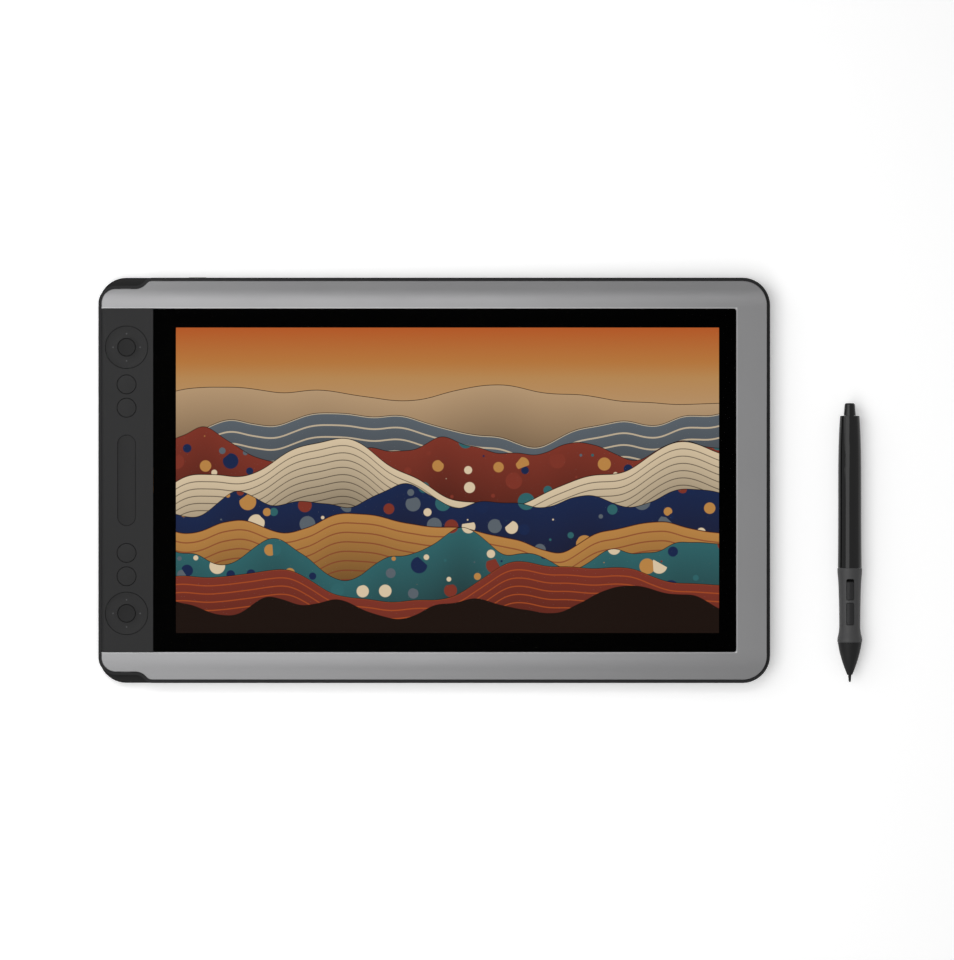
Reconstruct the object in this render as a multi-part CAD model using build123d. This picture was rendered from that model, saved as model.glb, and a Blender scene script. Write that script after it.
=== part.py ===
from build123d import *
import math
import os

# All sizes are in millimetres and all angles in degrees.
# The tablet lies face up with its long side along X. Its pen lies beside it along Y, tip towards -Y.

# Housing outline, seen from above
tablet_width = 425.8
tablet_depth = 257.0
corner_radius = 17.5
rim_width = 2.1
notch_depth = 5.15
notch_corner_radius = 11.1
notch_flat_end = 23.5
notch_length = 34.2

# Housing heights and walls
foot_height = 1.2
back_height = 6.8
back_wall = 2.0
back_edge_width = 9.0
back_edge_height = 5.2
back_edge_steps = 5
frame_height = 5.0
frame_wall = 4.6
web_thickness = 1.6
seat_depth = 0.8
groove_width = 0.35
bezel_wall = 1.8
bezel_chamfer = 0.35
seam_gap = 0.15
fit_gap = 0.05
overrun = 5.0

# Bend of the bezel towards the two long sides
slope_angle = 12.0
slope_width = 5.7
bend_width = 11.4

# Glass and screen
key_strip_width = 34.9
glass_side_margin = 21.6
glass_end_margin = 19.8
glass_corner_radius = 1.5
glass_thickness = 1.1
glass_recess = 0.2
glass_chamfer = 0.15
screen_left_border = 14.32
screen_right_border = 10.82
screen_end_border = 11.905
mask_thickness = 0.1
seal_thickness = 0.6
seal_width = 3.4
lip_width = 1.6

# Display stack inside the metal tray
lcd_side_border = 3.92
lcd_end_border = 3.705
lcd_thickness = 1.0
diffuser_thickness = 0.4
guide_side_margin = 1.5
guide_end_margin = 1.2
guide_thickness = 1.6
panel_frame_wall = 1.9
led_strip_height = 1.2
led_strip_margin = 3.8
led_strip_depth = 0.5
led_count = 36
led_width = 4.0
led_depth = 0.6
digitizer_thickness = 0.5
shield_thickness = 0.3
tray_sheet = 0.8
tray_edge_gap = 0.4
web_side_band = 53.65
web_end_band = 37.7
web_window_radius = 8.0

# Screws through the back into the bezel
back_screw_inset = 14.0
back_screw_width_shares = (-0.80, -0.40, 0.0, 0.40, 0.80)
back_screw_side_shares = (-0.45, 0.45)
back_screw_side_inset = 12.4
screw_radius = 1.25
screw_head_radius = 2.4
screw_head_height = 1.5
screw_grip = 3.5
screw_drive_radius = 1.1
screw_drive_sides = 6
boss_radius = 3.4
counterbore_gap = 0.3

# Ribs of the housing
rib_width = 1.2
bezel_rib_count = 13
back_rib_shares = (-0.78, -0.27, 0.27, 0.78)
back_rib_height = 1.4

# Back cover fittings
vesa_spacing = 75.0
vesa_thread_radius = 2.0
vesa_insert_radius = 3.0
vesa_insert_length = 5.0
vesa_boss_radius = 5.0
vesa_boss_height = 5.6
foot_length = 52.0
foot_width = 10.0
foot_recess = 0.5
foot_edge = 0.4
foot_x_share = 0.66
foot_y_share = 0.76
vent_count = 18
vent_pitch = 6.0
vent_width = 2.0
vent_length = 15.0
vent_y_share = 0.72

# Key strip: one column of keys, mirrored about the tablet's middle
key_column = 18.0
ring_end_margin = 24.4
ring_key_pitch = 23.5
round_key_pitch = 14.8
key_gap = 0.35
panel_wall = 1.6
panel_left_round = 2.6
panel_left_drop = 0.9
key_travel = 0.4
key_flange_width = 1.0
key_flange_thickness = 0.8
round_key_radius = 5.95
key_dome = 0.2
key_edge = 0.2
dot_radius = 0.55
dot_height = 0.22
plunger_radius = 1.2
plunger_gap = 0.05

# Rocking ring with its gimbal
ring_radius = 13.3
ring_thickness = 1.7
ring_dish = 0.25
ring_tilt = 1.5
ring_dot_place = 8.6
ring_plunger_place = 11.2
ring_plunger_radius = 0.7
centre_key_radius = 5.55
centre_key_hollow = 0.25
centre_key_rest_gap = 0.3
centre_flange_width = 0.75
centre_flange_thickness = 0.7
gimbal_inner_radius = 6.8
gimbal_outer_radius = 7.9
gimbal_height = 1.4
gimbal_drop = 0.7
gimbal_pin_radius = 0.5
gimbal_pin_length = 1.5
ear_gap = 0.3
ear_thickness = 1.4
ear_width = 3.0
ear_top_gap = 0.4

# Touch bar
touch_bar_width = 10.9
touch_bar_end_gap = 17.5
touch_bar_recess = 0.5
touch_bar_flange = 1.2
touch_bar_flange_thickness = 0.8
touch_bar_hollow = 0.25
touch_board_thickness = 0.5
touch_edge = 0.3

# Key board, its switches and the carrier over it
key_board_thickness = 1.0
key_board_end_margin = 6.2
key_board_edge_gap = 0.4
key_board_width = 27.6
carrier_thickness = 0.8
carrier_edge = 1.0
switch_body = 3.0
switch_body_height = 1.6
switch_button_radius = 0.9
switch_button_height = 0.4
switch_clearance = 0.6
panel_screw_radius = 1.0
panel_screw_head_radius = 1.9
panel_screw_head_height = 1.2
panel_boss_radius = 2.3
panel_screw_reach = 4.0
panel_screw_end_margin = 5.1
panel_screw_key_gap = 12.0
panel_screw_side = 10.6

# Ports in the two notches
socket_width = 8.94
socket_height = 3.26
socket_length = 7.35
socket_wall = 0.3
socket_tongue_width = 6.6
socket_tongue_thickness = 0.7
socket_tongue_length = 4.6
socket_setback = 0.6
socket_height_share = 0.48
port_gap = 0.2
port_chamfer = 0.5
port_board_width = 16.0
port_board_depth = 11.0
port_board_thickness = 0.8
port_board_height_share = 0.6

# Power button in the upper long side
power_side_margin = 62.9
power_button_width = 11.0
power_button_height = 1.8
power_button_flange = 0.8
power_button_flange_depth = 0.8
power_button_proud = 0.2
power_gap = 0.2
power_travel = 0.4
power_stem_radius = 0.8
power_board_width = 15.0
power_board_depth = 6.5
power_switch_width = 4.5
power_switch_depth = 3.2
power_switch_height = 1.6
power_tip_radius = 0.6
power_tip_length = 0.4

# Main board
main_board_width = 100.0
main_board_depth = 74.0
main_board_window_place = 19.35
main_board_thickness = 1.2
main_board_standoff = 1.6
board_corner_inset = 4.0
board_screw_radius = 1.0
board_screw_head_radius = 1.8
board_screw_head_height = 0.8
board_post_radius = 2.6
main_chip_size = 16.0
main_chip_height = 1.2
small_chip_size = 9.0
small_chip_height = 0.9
chip_row_shares = (-0.26, 0.0, 0.26)
chip_side_share = 0.5
coil_side_share = -0.45
coil_size = 5.0
coil_height = 1.6
connector_length = 18.0
connector_width = 4.0
connector_height = 1.4
port_connector_share = 0.8
port_connector_x_share = -0.4
key_connector_share = -0.9
screen_connector_share = -0.6

# Flat cables inside
cable_thickness = 0.3
screen_cable_share = 0.25
cable_width = 16.0
port_cable_width = 8.0

# Pen outside
pen_gap = 42.9
pen_length = 177.0
pen_radius = 7.86
pen_tail_place = 49.0
nib_exposed = 4.6
nib_tip_radius = 0.75
nib_radius = 1.05
cone_length = 20.6
grip_length = 47.2
tail_length = 8.1
tail_radius = 3.87
tail_end_radius = 3.3
tail_round = 1.2
pen_seam = 0.15
pen_bore = 5.0
pen_wall = 1.0
spigot_length = 6.0
cone_shares = ((0.0, 0.21), (0.31, 0.52), (0.675, 0.80), (1.0, 0.965))
grip_shares = ((0.0, 0.985), (0.045, 1.0), (0.10, 0.93), (0.18, 0.858), (0.28, 0.848), (0.5, 0.866),
               (0.72, 0.902), (0.87, 0.955), (0.95, 0.994), (1.0, 0.99))
barrel_shares = ((0.0, 0.972), (0.15, 0.954), (0.4, 0.944), (0.8, 0.912), (0.92, 0.855), (1.0, 0.79))

# Pen side switches
window_start = 36.1
window_width = 4.9
lower_window_length = 14.3
upper_window_length = 13.5
window_bridge = 1.5
window_round = 1.0
side_switch_gap = 0.2
upper_switch_short = 1.7
side_switch_travel = 0.35
lower_switch_share = 0.915
upper_switch_share = 0.945
side_switch_round = 0.35
side_flange_height = 3.7
side_flange_thickness = 0.7
side_flange_width = 6.0
side_flange_overlap = 0.3
side_plunger_radius = 0.9

# Pen inside
nib_length = 27.0
nib_travel = 0.3
nib_bore_gap = 0.15
ferrite_start = 9.4
ferrite_length = 13.0
ferrite_radius = 1.9
coil_radius = 2.35
coil_length = 8.5
coil_start_gap = 3.0
cone_chamber_start = 9.4
cone_chamber_radius = 2.5
holder_length = 4.0
holder_radius = 1.8
holder_grip = 2.0
sensor_length = 3.0
sensor_radius = 3.6
core_length = 112.0
core_top = 0.6
pen_board_width = 7.4
pen_board_length = 84.0
pen_board_thickness = 0.8
dome_size = 3.0
dome_height = 1.5

# Heights worked out from the sizes above
z_back = foot_height
z_mid = z_back + back_height
z_front = z_mid + frame_height
z_seat = z_front - seat_depth
z_web = z_mid + web_thickness
z_shield = z_web + tray_sheet
z_digitizer = z_shield + shield_thickness
z_guide = z_digitizer + digitizer_thickness
z_diffuser = z_guide + guide_thickness
z_lcd = z_diffuser + diffuser_thickness
z_seal = z_lcd + lcd_thickness
z_mask = z_seal + seal_thickness
z_glass = z_mask + mask_thickness
z_glass_top = z_glass + glass_thickness
z_crest = z_glass_top + glass_recess
z_panel_under = z_crest - panel_wall
z_key_board = z_web + key_board_thickness
z_carrier = z_key_board + carrier_thickness
z_switch_top = z_key_board + switch_body_height + switch_button_height
z_floor = z_back + back_wall
z_main_board = z_floor + main_board_standoff
z_board_top = z_main_board + main_board_thickness
z_ring_under = z_crest - ring_thickness
z_gimbal_top = z_ring_under - gimbal_drop
z_gimbal_pin = z_gimbal_top - gimbal_height / 2
z_socket = z_mid + frame_height * socket_height_share
z_power = (z_web + z_seat) / 2

# Places worked out from the sizes above
left_side = -tablet_width / 2
right_side = tablet_width / 2
back_side = tablet_depth / 2
glass_left = left_side + key_strip_width
glass_right = right_side - glass_side_margin
glass_centre = (glass_left + glass_right) / 2
glass_width = glass_right - glass_left
key_x = left_side + key_column
glass_depth = tablet_depth - 2 * glass_end_margin
screen_width = glass_width - screen_left_border - screen_right_border
screen_height = glass_depth - 2 * screen_end_border
screen_offset = glass_centre + (screen_left_border - screen_right_border) / 2
lcd_width = screen_width + 2 * lcd_side_border
lcd_depth = screen_height + 2 * lcd_end_border
guide_width = lcd_width - 2 * guide_side_margin
guide_depth = lcd_depth - 2 * guide_end_margin
web_window_width = glass_width - 2 * web_side_band
web_window_depth = glass_depth - 2 * web_end_band
main_board_place = web_window_width / 2 - glass_centre - main_board_window_place
ring_place = glass_depth / 2 - ring_end_margin
outer_key_place = ring_place - ring_key_pitch
inner_key_place = outer_key_place - round_key_pitch
touch_bar_length = 2 * (inner_key_place - touch_bar_end_gap)
key_board_length = glass_depth - 2 * key_board_end_margin
panel_screw_end_place = glass_depth / 2 - panel_screw_end_margin
panel_screw_mid_place = inner_key_place - panel_screw_key_gap
power_place = right_side - power_side_margin
rim_inset = rim_width - groove_width
cable_slot = 4 * cable_thickness
screen_cable_y = -screen_cable_share * lcd_depth
set_width = tablet_width + pen_gap + 2 * pen_radius
tablet_x = (tablet_width - set_width) / 2
pen_x = set_width / 2 - pen_radius
pen_tip_y = pen_tail_place - pen_length
notch_middle = left_side + (notch_corner_radius + notch_flat_end) / 2
back_screw_row = back_side - back_screw_inset
back_screw_places = [(share * right_side, side * back_screw_row)
                     for share in back_screw_width_shares for side in (-1, 1)]
back_screw_column = right_side - back_screw_side_inset
back_screw_places += [(back_screw_column, share * back_side) for share in back_screw_side_shares]
panel_screw_places = [(key_x, panel_screw_end_place), (key_x + panel_screw_side, panel_screw_mid_place)]
panel_screw_places += [(x, -y) for x, y in panel_screw_places]
round_key_places = (outer_key_place, inner_key_place, -inner_key_place, -outer_key_place)
compass = ((1, 0), (0, 1), (-1, 0), (0, -1))


def slab(face, low, high):
    """A flat face pushed up from one height to another."""
    return extrude(Pos(0, 0, low) * face, amount=high - low)


def block(x_low, x_high, y_low, y_high, low, high):
    """A straight block between its limits."""
    middle = Pos((x_low + x_high) / 2, (y_low + y_high) / 2)
    return slab(middle * Rectangle(x_high - x_low, y_high - y_low), low, high)


def disc(x, y, radius, low, high):
    """An upright cylinder between two heights."""
    return slab(Pos(x, y) * Circle(radius), low, high)


def both_ways(edges):
    """The edges of an upper half with their mirror image below the X axis."""
    return edges + [mirror(edge, about=Plane.XZ).edge() for edge in edges]


def body_outline(inset):
    """The plain rounded outline of the housing, moved inwards."""
    return RectangleRounded(tablet_width - 2 * inset, tablet_depth - 2 * inset, corner_radius - inset)


def rim_outline(inset):
    """The housing outline with its two notches, moved inwards.

    Each notch leaves the long side by two equal arcs, runs flat and turns into the short side.
    """
    left = left_side + inset
    right = right_side - inset
    top = back_side - inset
    floor = top - notch_depth
    turn = notch_corner_radius - inset
    corner = corner_radius - inset
    flat_end = left_side + notch_flat_end
    slope_end = left_side + notch_length
    lean = 2 * math.atan(notch_depth / (slope_end - flat_end))
    middle_x = (flat_end + slope_end) / 2 + inset * math.sin(lean)
    middle_y = back_side - notch_depth / 2 - inset * math.cos(lean)
    middle = (middle_x, middle_y)
    upper = [
        TangentArc((left, floor - turn), (left + turn, floor), tangent=(0, 1)),
        Line((left + turn, floor), (flat_end, floor)),
        TangentArc((flat_end, floor), middle, tangent=(1, 0)),
        TangentArc((slope_end, top), middle, tangent=(-1, 0)),
        Line((slope_end, top), (right - corner, top)),
        TangentArc((right - corner, top), (right, top - corner), tangent=(1, 0)),
    ]
    sides = [
        Line((left, turn - floor), (left, floor - turn)),
        Line((right, corner - top), (right, top - corner)),
    ]
    return make_face(both_ways(upper) + sides)


def crown(lowered):
    """The crowned block that the bezel is cut from: one section pushed along the whole width.

    It is level over the glass, bends on a large radius and falls straight to each long side.
    """
    angle = math.radians(slope_angle)
    edge_y = back_side - rim_width
    bend_end = edge_y - slope_width
    flat_end = bend_end - bend_width
    top = z_crest - lowered
    bend_low = top - bend_width * math.tan(angle / 2)
    edge_low = bend_low - slope_width * math.tan(angle)
    half = [
        TangentArc((flat_end, top), (bend_end, bend_low), tangent=(1, 0)),
        Line((bend_end, bend_low), (edge_y, edge_low)),
        Line((edge_y, edge_low), (edge_y, z_mid)),
    ]
    other_half = [mirror(edge, about=Plane.YZ).edge() for edge in half]
    ends = [Line((-flat_end, top), (flat_end, top)), Line((-edge_y, z_mid), (edge_y, z_mid))]
    section = make_face(half + other_half + ends)
    return extrude(Plane.YZ * Pos(0, 0, left_side) * section, amount=tablet_width)


def glass_outline(inset):
    """The outline of the cover glass, moved inwards, or outwards if the inset is negative."""
    corner = max(glass_corner_radius - inset, seam_gap)
    face = RectangleRounded(glass_width - 2 * inset, glass_depth - 2 * inset, corner)
    return Pos(glass_centre, 0) * face


def window_outline(grown):
    """The opening of the bezel: round the glass and out through the left side for the key strip."""
    left = left_side - overrun
    right = glass_right + grown
    face = RectangleRounded(right - left, glass_depth + 2 * grown, glass_corner_radius + grown)
    return Pos((left + right) / 2, 0) * face


def centred(width, depth, low, high):
    """A plate centred behind the lit screen."""
    return slab(Pos(screen_offset, 0) * Rectangle(width, depth), low, high)


def screw(x, y, seat, tip, shaft, head, head_height, drive):
    """A pan-head screw pointing up: its head hangs below the seat, with a six-sided drive in it."""
    body = disc(x, y, shaft, seat, tip) + disc(x, y, head, seat - head_height, seat)
    drive_outline = RegularPolygon(drive, screw_drive_sides)
    socket = Pos(x, y, seat - head_height) * extrude(drive_outline, amount=head_height / 2)
    return body - socket


def back_block(inset):
    """The tray-shaped block of the back cover, whose lower edge turns up on a quarter ellipse."""
    sections = []
    low = z_back + inset
    for step in range(back_edge_steps + 1):
        angle = math.pi / 2 * step / back_edge_steps
        place = inset + back_edge_width * (1 - math.sin(angle))
        height = low + back_edge_height * (1 - math.cos(angle))
        sections.append(Pos(0, 0, height) * body_outline(place))
    return loft(sections) + slab(body_outline(inset), low + back_edge_height, z_mid)


def notch_shelves():
    """Solid shelves that close the back cover under the two notches of the frame above it."""
    x_high = left_side + notch_length + frame_wall
    y_low = back_side - notch_depth - frame_wall
    upper = block(left_side, x_high, y_low, back_side, z_back, z_mid)
    return upper + mirror(upper, about=Plane.XZ)


def vesa_places():
    """The four corners of the mounting square on the back."""
    half = vesa_spacing / 2
    return [(half * x, half * y) for x in (-1, 1) for y in (-1, 1)]


def board_places():
    """The four fixing points of the main board."""
    half_x = main_board_width / 2 - board_corner_inset
    half_y = main_board_depth / 2 - board_corner_inset
    return [(half_x * x - main_board_place, half_y * y) for x in (-1, 1) for y in (-1, 1)]


def foot_outline(inset):
    """The four stadium-shaped feet as one sketch."""
    pad = SlotOverall(foot_length - 2 * inset, foot_width - 2 * inset)
    places = [(foot_x_share * right_side * x, foot_y_share * back_side * y) for x in (-1, 1) for y in (-1, 1)]
    return Sketch() + [Pos(x, y) * pad for x, y in places]


def back_cover():
    """Back shell with bosses, ribs, vents, foot recesses and the solid floors of the notches."""
    cavity = back_block(back_wall) - notch_shelves()
    for share in back_rib_shares:
        rib_x = share * right_side
        cavity -= block(rib_x, rib_x + rib_width, -back_side, back_side, z_back, z_floor + back_rib_height)
    for x, y in back_screw_places:
        cavity -= disc(x, y, boss_radius, z_back, z_mid)
    for x, y in vesa_places():
        cavity -= disc(x, y, vesa_boss_radius, z_back, z_floor + vesa_boss_height)
    for x, y in board_places():
        cavity -= disc(x, y, board_post_radius, z_back, z_main_board)
    cover = back_block(0) - cavity
    counterbore_top = z_back + screw_head_height + counterbore_gap
    for x, y in back_screw_places:
        cover -= disc(x, y, screw_radius + fit_gap, z_back, z_mid)
        cover -= disc(x, y, screw_head_radius + counterbore_gap, z_back, counterbore_top)
    for x, y in vesa_places():
        cover -= disc(x, y, vesa_insert_radius, z_back, z_back + vesa_insert_length)
    for x, y in board_places():
        cover -= disc(x, y, board_screw_radius, z_floor, z_main_board)
    cover -= slab(foot_outline(0), z_back, z_back + foot_recess)
    slot = Rot(0, 0, 90) * SlotOverall(vent_length, vent_width)
    first = -vent_pitch * (vent_count - 1) / 2
    for number in range(vent_count):
        vent_x = first + number * vent_pitch
        cover -= slab(Pos(vent_x, vent_y_share * back_side) * slot, z_back, z_floor)
    return cover


def rubber_feet():
    """Four soft feet glued into their recesses, with a chamfered lower edge."""
    upper = slab(foot_outline(0), foot_edge, z_back + foot_recess)
    lower = loft_feet()
    return upper + lower


def loft_feet():
    """The chamfered soles of the feet."""
    soles = []
    for x in (-1, 1):
        for y in (-1, 1):
            place = Pos(foot_x_share * right_side * x, foot_y_share * back_side * y, 0)
            sole = place * SlotOverall(foot_length - 2 * foot_edge, foot_width - 2 * foot_edge)
            top = place * Pos(0, 0, foot_edge) * SlotOverall(foot_length, foot_width)
            soles.append(loft([sole, top]))
    return soles


def vesa_inserts():
    """Four threaded brass sleeves flush with the back."""
    ring = Circle(vesa_insert_radius) - Circle(vesa_thread_radius)
    return Part() + [slab(Pos(x, y) * ring, z_back, z_back + vesa_insert_length) for x, y in vesa_places()]


def back_screws():
    """The screws that clamp back cover, middle frame and bezel together."""
    seat = z_back + screw_head_height + counterbore_gap
    tip = z_web + screw_grip
    return Part() + [
        screw(x, y, seat, tip, screw_radius, screw_head_radius, screw_head_height, screw_drive_radius)
        for x, y in back_screw_places
    ]


def port_cut(sign):
    """The mouth of a port through the notch wall, widened at its outer face, and room behind it."""
    wall_y = back_side - notch_depth
    mouth_width = socket_width + 2 * port_gap
    mouth_height = socket_height + 2 * port_gap
    place = Pos(notch_middle, wall_y + overrun, z_socket) * Rot(90, 0, 0)
    mouth = extrude(place * SlotOverall(mouth_width, mouth_height), amount=overrun + frame_wall)
    flare_outer = SlotOverall(mouth_width + 2 * port_chamfer, mouth_height + 2 * port_chamfer)
    flare_place = Pos(notch_middle, wall_y, z_socket) * Rot(90, 0, 0)
    flare_inner = Pos(0, 0, port_chamfer) * SlotOverall(mouth_width, mouth_height)
    flare = loft([flare_place * flare_outer, flare_place * flare_inner])
    half = mouth_width / 2
    room_low = port_board_edge() - 2 * cable_thickness - port_gap
    room = block(notch_middle - half, notch_middle + half, room_low, wall_y - frame_wall, z_mid, z_web)
    cut = mouth + flare + room
    return cut if sign > 0 else mirror(cut, about=Plane.XZ)


def port_board_edge():
    """Where the port boards end, away from their notch."""
    return back_side - notch_depth - frame_wall - key_gap - port_board_depth


def frame_ribs():
    """Cross ribs between the frame's outer wall and the display tray, on both long sides."""
    ribs = []
    first = glass_left + boss_radius
    pitch = (glass_right - first) / bezel_rib_count
    y_low = glass_depth / 2 + lip_width + seam_gap
    for number in range(bezel_rib_count):
        rib_x = first + (number + 0.5) * pitch
        for sign in (-1, 1):
            near, far = sorted((sign * y_low, sign * (back_side - frame_wall)))
            ribs.append(block(rib_x, rib_x + rib_width, near, far, z_web, z_seat))
    keep_clear = [disc(x, y, boss_radius + seam_gap, z_web, z_seat) for x, y in back_screw_places]
    power_half = power_board_width / 2 + seam_gap
    power_low = -power_place - power_half
    power_high = -power_place + power_half
    keep_clear.append(block(power_low, power_high, 0, back_side, z_web, z_seat))
    return (Part() + ribs) - keep_clear


def mid_frame():
    """Middle frame: rim wall with the notches, seat and groove of the bezel, and the web inside it."""
    rim = slab(rim_outline(0) - rim_outline(frame_wall), z_mid, z_front)
    rim -= slab(rim_outline(rim_inset), z_seat, z_front)
    window = Pos(glass_centre, 0) * RectangleRounded(web_window_width, web_window_depth, web_window_radius)
    frame = rim + slab(rim_outline(frame_wall) - window, z_mid, z_web) + frame_ribs()
    for x, y in back_screw_places:
        frame -= disc(x, y, screw_radius + fit_gap, z_mid, z_web)
    for x, y in panel_screw_places:
        frame -= disc(x, y, panel_screw_radius + fit_gap, z_mid, z_web)
    for x, y in tray_screw_places():
        frame -= disc(x, y, panel_screw_radius, z_mid, z_web)
    frame -= port_cut(1)
    frame -= port_cut(-1)
    slot_place = Pos(-power_place, back_side, z_power) * Rot(90, 0, 0)
    power_slot = SlotOverall(power_button_width + 2 * power_gap, power_button_height + 2 * power_gap)
    frame -= extrude(slot_place * power_slot, amount=frame_wall)
    cable_x = glass_left + tray_edge_gap
    frame -= block(cable_x - cable_room(), cable_x + cable_room(), -cable_width / 2 - key_gap,
                   cable_width / 2 + key_gap, z_mid, z_web)
    return frame


def cable_room():
    """Half the width of the slot that lets the key cable through the web."""
    return cable_slot


def front_bezel():
    """Crowned bezel shell, open on the left, with its glass lip, ribs and screw bosses."""
    outer = crown(0) & slab(rim_outline(rim_width), z_seat, z_crest)
    outer -= slab(window_outline(seam_gap), z_seat, z_crest)
    cavity = crown(bezel_wall) & slab(rim_outline(rim_width + bezel_wall), z_seat, z_crest)
    cavity -= slab(window_outline(seam_gap + lip_width), z_seat, z_crest)
    bosses = []
    for x, y in back_screw_places:
        cavity -= disc(x, y, boss_radius, z_seat, z_crest)
        bosses.append(disc(x, y, boss_radius, z_web, z_seat))
    pitch = (glass_right - glass_left) / bezel_rib_count
    for number in range(1, bezel_rib_count):
        rib_x = glass_left + number * pitch
        cavity -= block(rib_x, rib_x + rib_width, -back_side, back_side, z_front, z_crest)
    bezel = outer - cavity + bosses
    for x, y in back_screw_places:
        bezel -= disc(x, y, screw_radius, z_web, z_web + screw_grip)
    top_edges = [edge for edge in bezel.edges() if is_outer_top(edge)]
    return chamfer(top_edges, bezel_chamfer)


def is_outer_top(edge):
    """True for an edge where the bezel's upper surface meets its outer wall or its glass lip."""
    box = edge.bounding_box()
    if box.min.Z < z_front + bezel_chamfer:
        return False
    centre = edge.center()
    below = Vertex(centre.X, centre.Y, z_seat)
    outer_wall = rim_outline(rim_width).wire()
    lip = window_outline(seam_gap).wire()
    near_outer = below.moved(Pos(0, 0, -z_seat)).distance_to(outer_wall) < fit_gap
    near_lip = below.moved(Pos(0, 0, -z_seat)).distance_to(lip) < fit_gap
    return near_outer or near_lip


def panel_block(lowered, inset):
    """The key panel as a full block: level on top and rounded down towards the left side."""
    left = left_side + rim_width + inset
    right = glass_left - seam_gap - inset
    top = z_crest - lowered
    round_end = left + panel_left_round
    edges = [
        Line((left, z_seat), (left, top - panel_left_drop)),
        EllipticalCenterArc(
            (round_end, top - panel_left_drop), panel_left_round, panel_left_drop, start_angle=90
        ),
        Line((round_end, top), (right, top)),
        Line((right, top), (right, z_seat)),
        Line((right, z_seat), (left, z_seat)),
    ]
    half = glass_depth / 2 - inset
    return extrude(Plane.XZ * Pos(0, 0, -half) * make_face(edges), amount=2 * half)


def touch_slot(grown):
    """The touch bar's stadium outline in its place."""
    length = touch_bar_length + 2 * grown
    width = touch_bar_width + 2 * grown
    return Pos(key_x, 0) * Rot(0, 0, 90) * SlotOverall(length, width)


def key_panel():
    """Key panel shell with the holes of the keys, the touch bar slot and screw bosses."""
    panel = panel_block(0, 0) - panel_block(panel_wall, panel_wall)
    for x, y in panel_screw_places:
        panel += disc(x, y, panel_boss_radius, z_carrier, z_panel_under)
    for y in (-ring_place, ring_place):
        panel -= disc(key_x, y, ring_radius + key_gap, z_seat, z_crest)
    for y in round_key_places:
        panel -= disc(key_x, y, round_key_radius + key_gap, z_seat, z_crest)
    panel -= slab(touch_slot(seam_gap), z_panel_under, z_crest)
    slot_edge = Pos(0, 0, z_crest - touch_edge) * touch_slot(seam_gap)
    panel -= loft([slot_edge, Pos(0, 0, z_crest) * touch_slot(seam_gap + touch_edge)])
    for x, y in panel_screw_places:
        panel -= disc(x, y, panel_screw_radius, z_carrier, z_web + panel_screw_reach)
    return panel


def panel_screws():
    """The screws from under the web, through the key board, into the key panel."""
    return Part() + [
        screw(x, y, z_mid, z_web + panel_screw_reach, panel_screw_radius - fit_gap, panel_screw_head_radius,
              panel_screw_head_height, panel_screw_radius / 2)
        for x, y in panel_screw_places
    ]


def cover_glass():
    """The cover glass with a fine chamfer round its face."""
    glass = slab(glass_outline(0), z_glass, z_glass_top)
    return chamfer(glass.edges().group_by(Axis.Z)[-1], glass_chamfer)


def border_mask():
    """The black printed border on the underside of the glass, open over the lit screen."""
    screen = Pos(screen_offset, 0) * Rectangle(screen_width, screen_height)
    return slab(glass_outline(seam_gap) - screen, z_mask, z_glass)


def glass_seal():
    """The foam tape frame between the display tray's flange and the glass."""
    return slab(glass_outline(tray_edge_gap) - glass_outline(tray_edge_gap + seal_width), z_seal, z_mask)


def panel_tray():
    """The pressed metal tray that holds the display stack, with an out-turned flange."""
    wall = tray_edge_gap + seal_width - tray_sheet
    tray = slab(glass_outline(wall), z_web, z_seal)
    tray -= slab(glass_outline(wall + tray_sheet), z_shield, z_seal)
    tray += slab(glass_outline(tray_edge_gap) - glass_outline(wall), z_seal - tray_sheet, z_seal)
    opening = Pos(-main_board_place, screen_cable_y) * Rectangle(cable_width + 2 * key_gap, cable_slot)
    tray -= slab(opening, z_web, z_shield)
    for x, y in tray_screw_places():
        tray -= disc(x, y, panel_screw_radius + fit_gap, z_web, z_shield)
    return tray


def tray_screw_places():
    """Four screws that hold the tray down on the web."""
    half_x = (web_window_width + glass_width) / 4
    half_y = (web_window_depth + lcd_depth) / 4
    return [(glass_centre + half_x * x, half_y * y) for x in (-1, 1) for y in (-1, 1)]


def shield_plate():
    """Metal shield behind the pen-sensing board."""
    return stack_plate(lcd_width, lcd_depth, z_shield, z_digitizer)


def digitizer_board():
    """Pen-sensing board behind the whole screen."""
    return stack_plate(lcd_width, lcd_depth, z_digitizer, z_guide)


def stack_plate(width, depth, low, high):
    """A plate of the stack, cut out for the screen's flat cable and the tray screws."""
    plate = centred(width, depth, low, high)
    opening = Pos(-main_board_place, screen_cable_y) * Rectangle(cable_width + 2 * key_gap, cable_slot)
    plate -= slab(opening, low, high)
    for x, y in tray_screw_places():
        plate -= disc(x, y, panel_screw_head_radius + key_gap, low, high)
    return plate


def light_guide():
    """Clear plate that spreads the light of the lamps."""
    return centred(guide_width, guide_depth, z_guide, z_diffuser)


def diffuser_sheets():
    """Diffusing films on the light guide."""
    return centred(guide_width, guide_depth, z_diffuser, z_lcd)


def panel_frame():
    """White moulded frame round the light guide, which carries the edge of the screen cell."""
    inner_width = guide_width + 2 * fit_gap
    inner_depth = guide_depth + 2 * fit_gap
    outer = centred(inner_width + 2 * panel_frame_wall, inner_depth + 2 * panel_frame_wall, z_guide, z_lcd)
    frame = outer - centred(inner_width, inner_depth, z_guide, z_lcd)
    lamp_half = (guide_width - 2 * panel_frame_wall) / 2
    lamp_low = -guide_depth / 2 - fit_gap - led_strip_depth - led_depth
    lamp_left = screen_offset - lamp_half
    return frame - block(lamp_left, lamp_left + 2 * lamp_half, lamp_low, 0, z_guide, z_diffuser)


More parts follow.
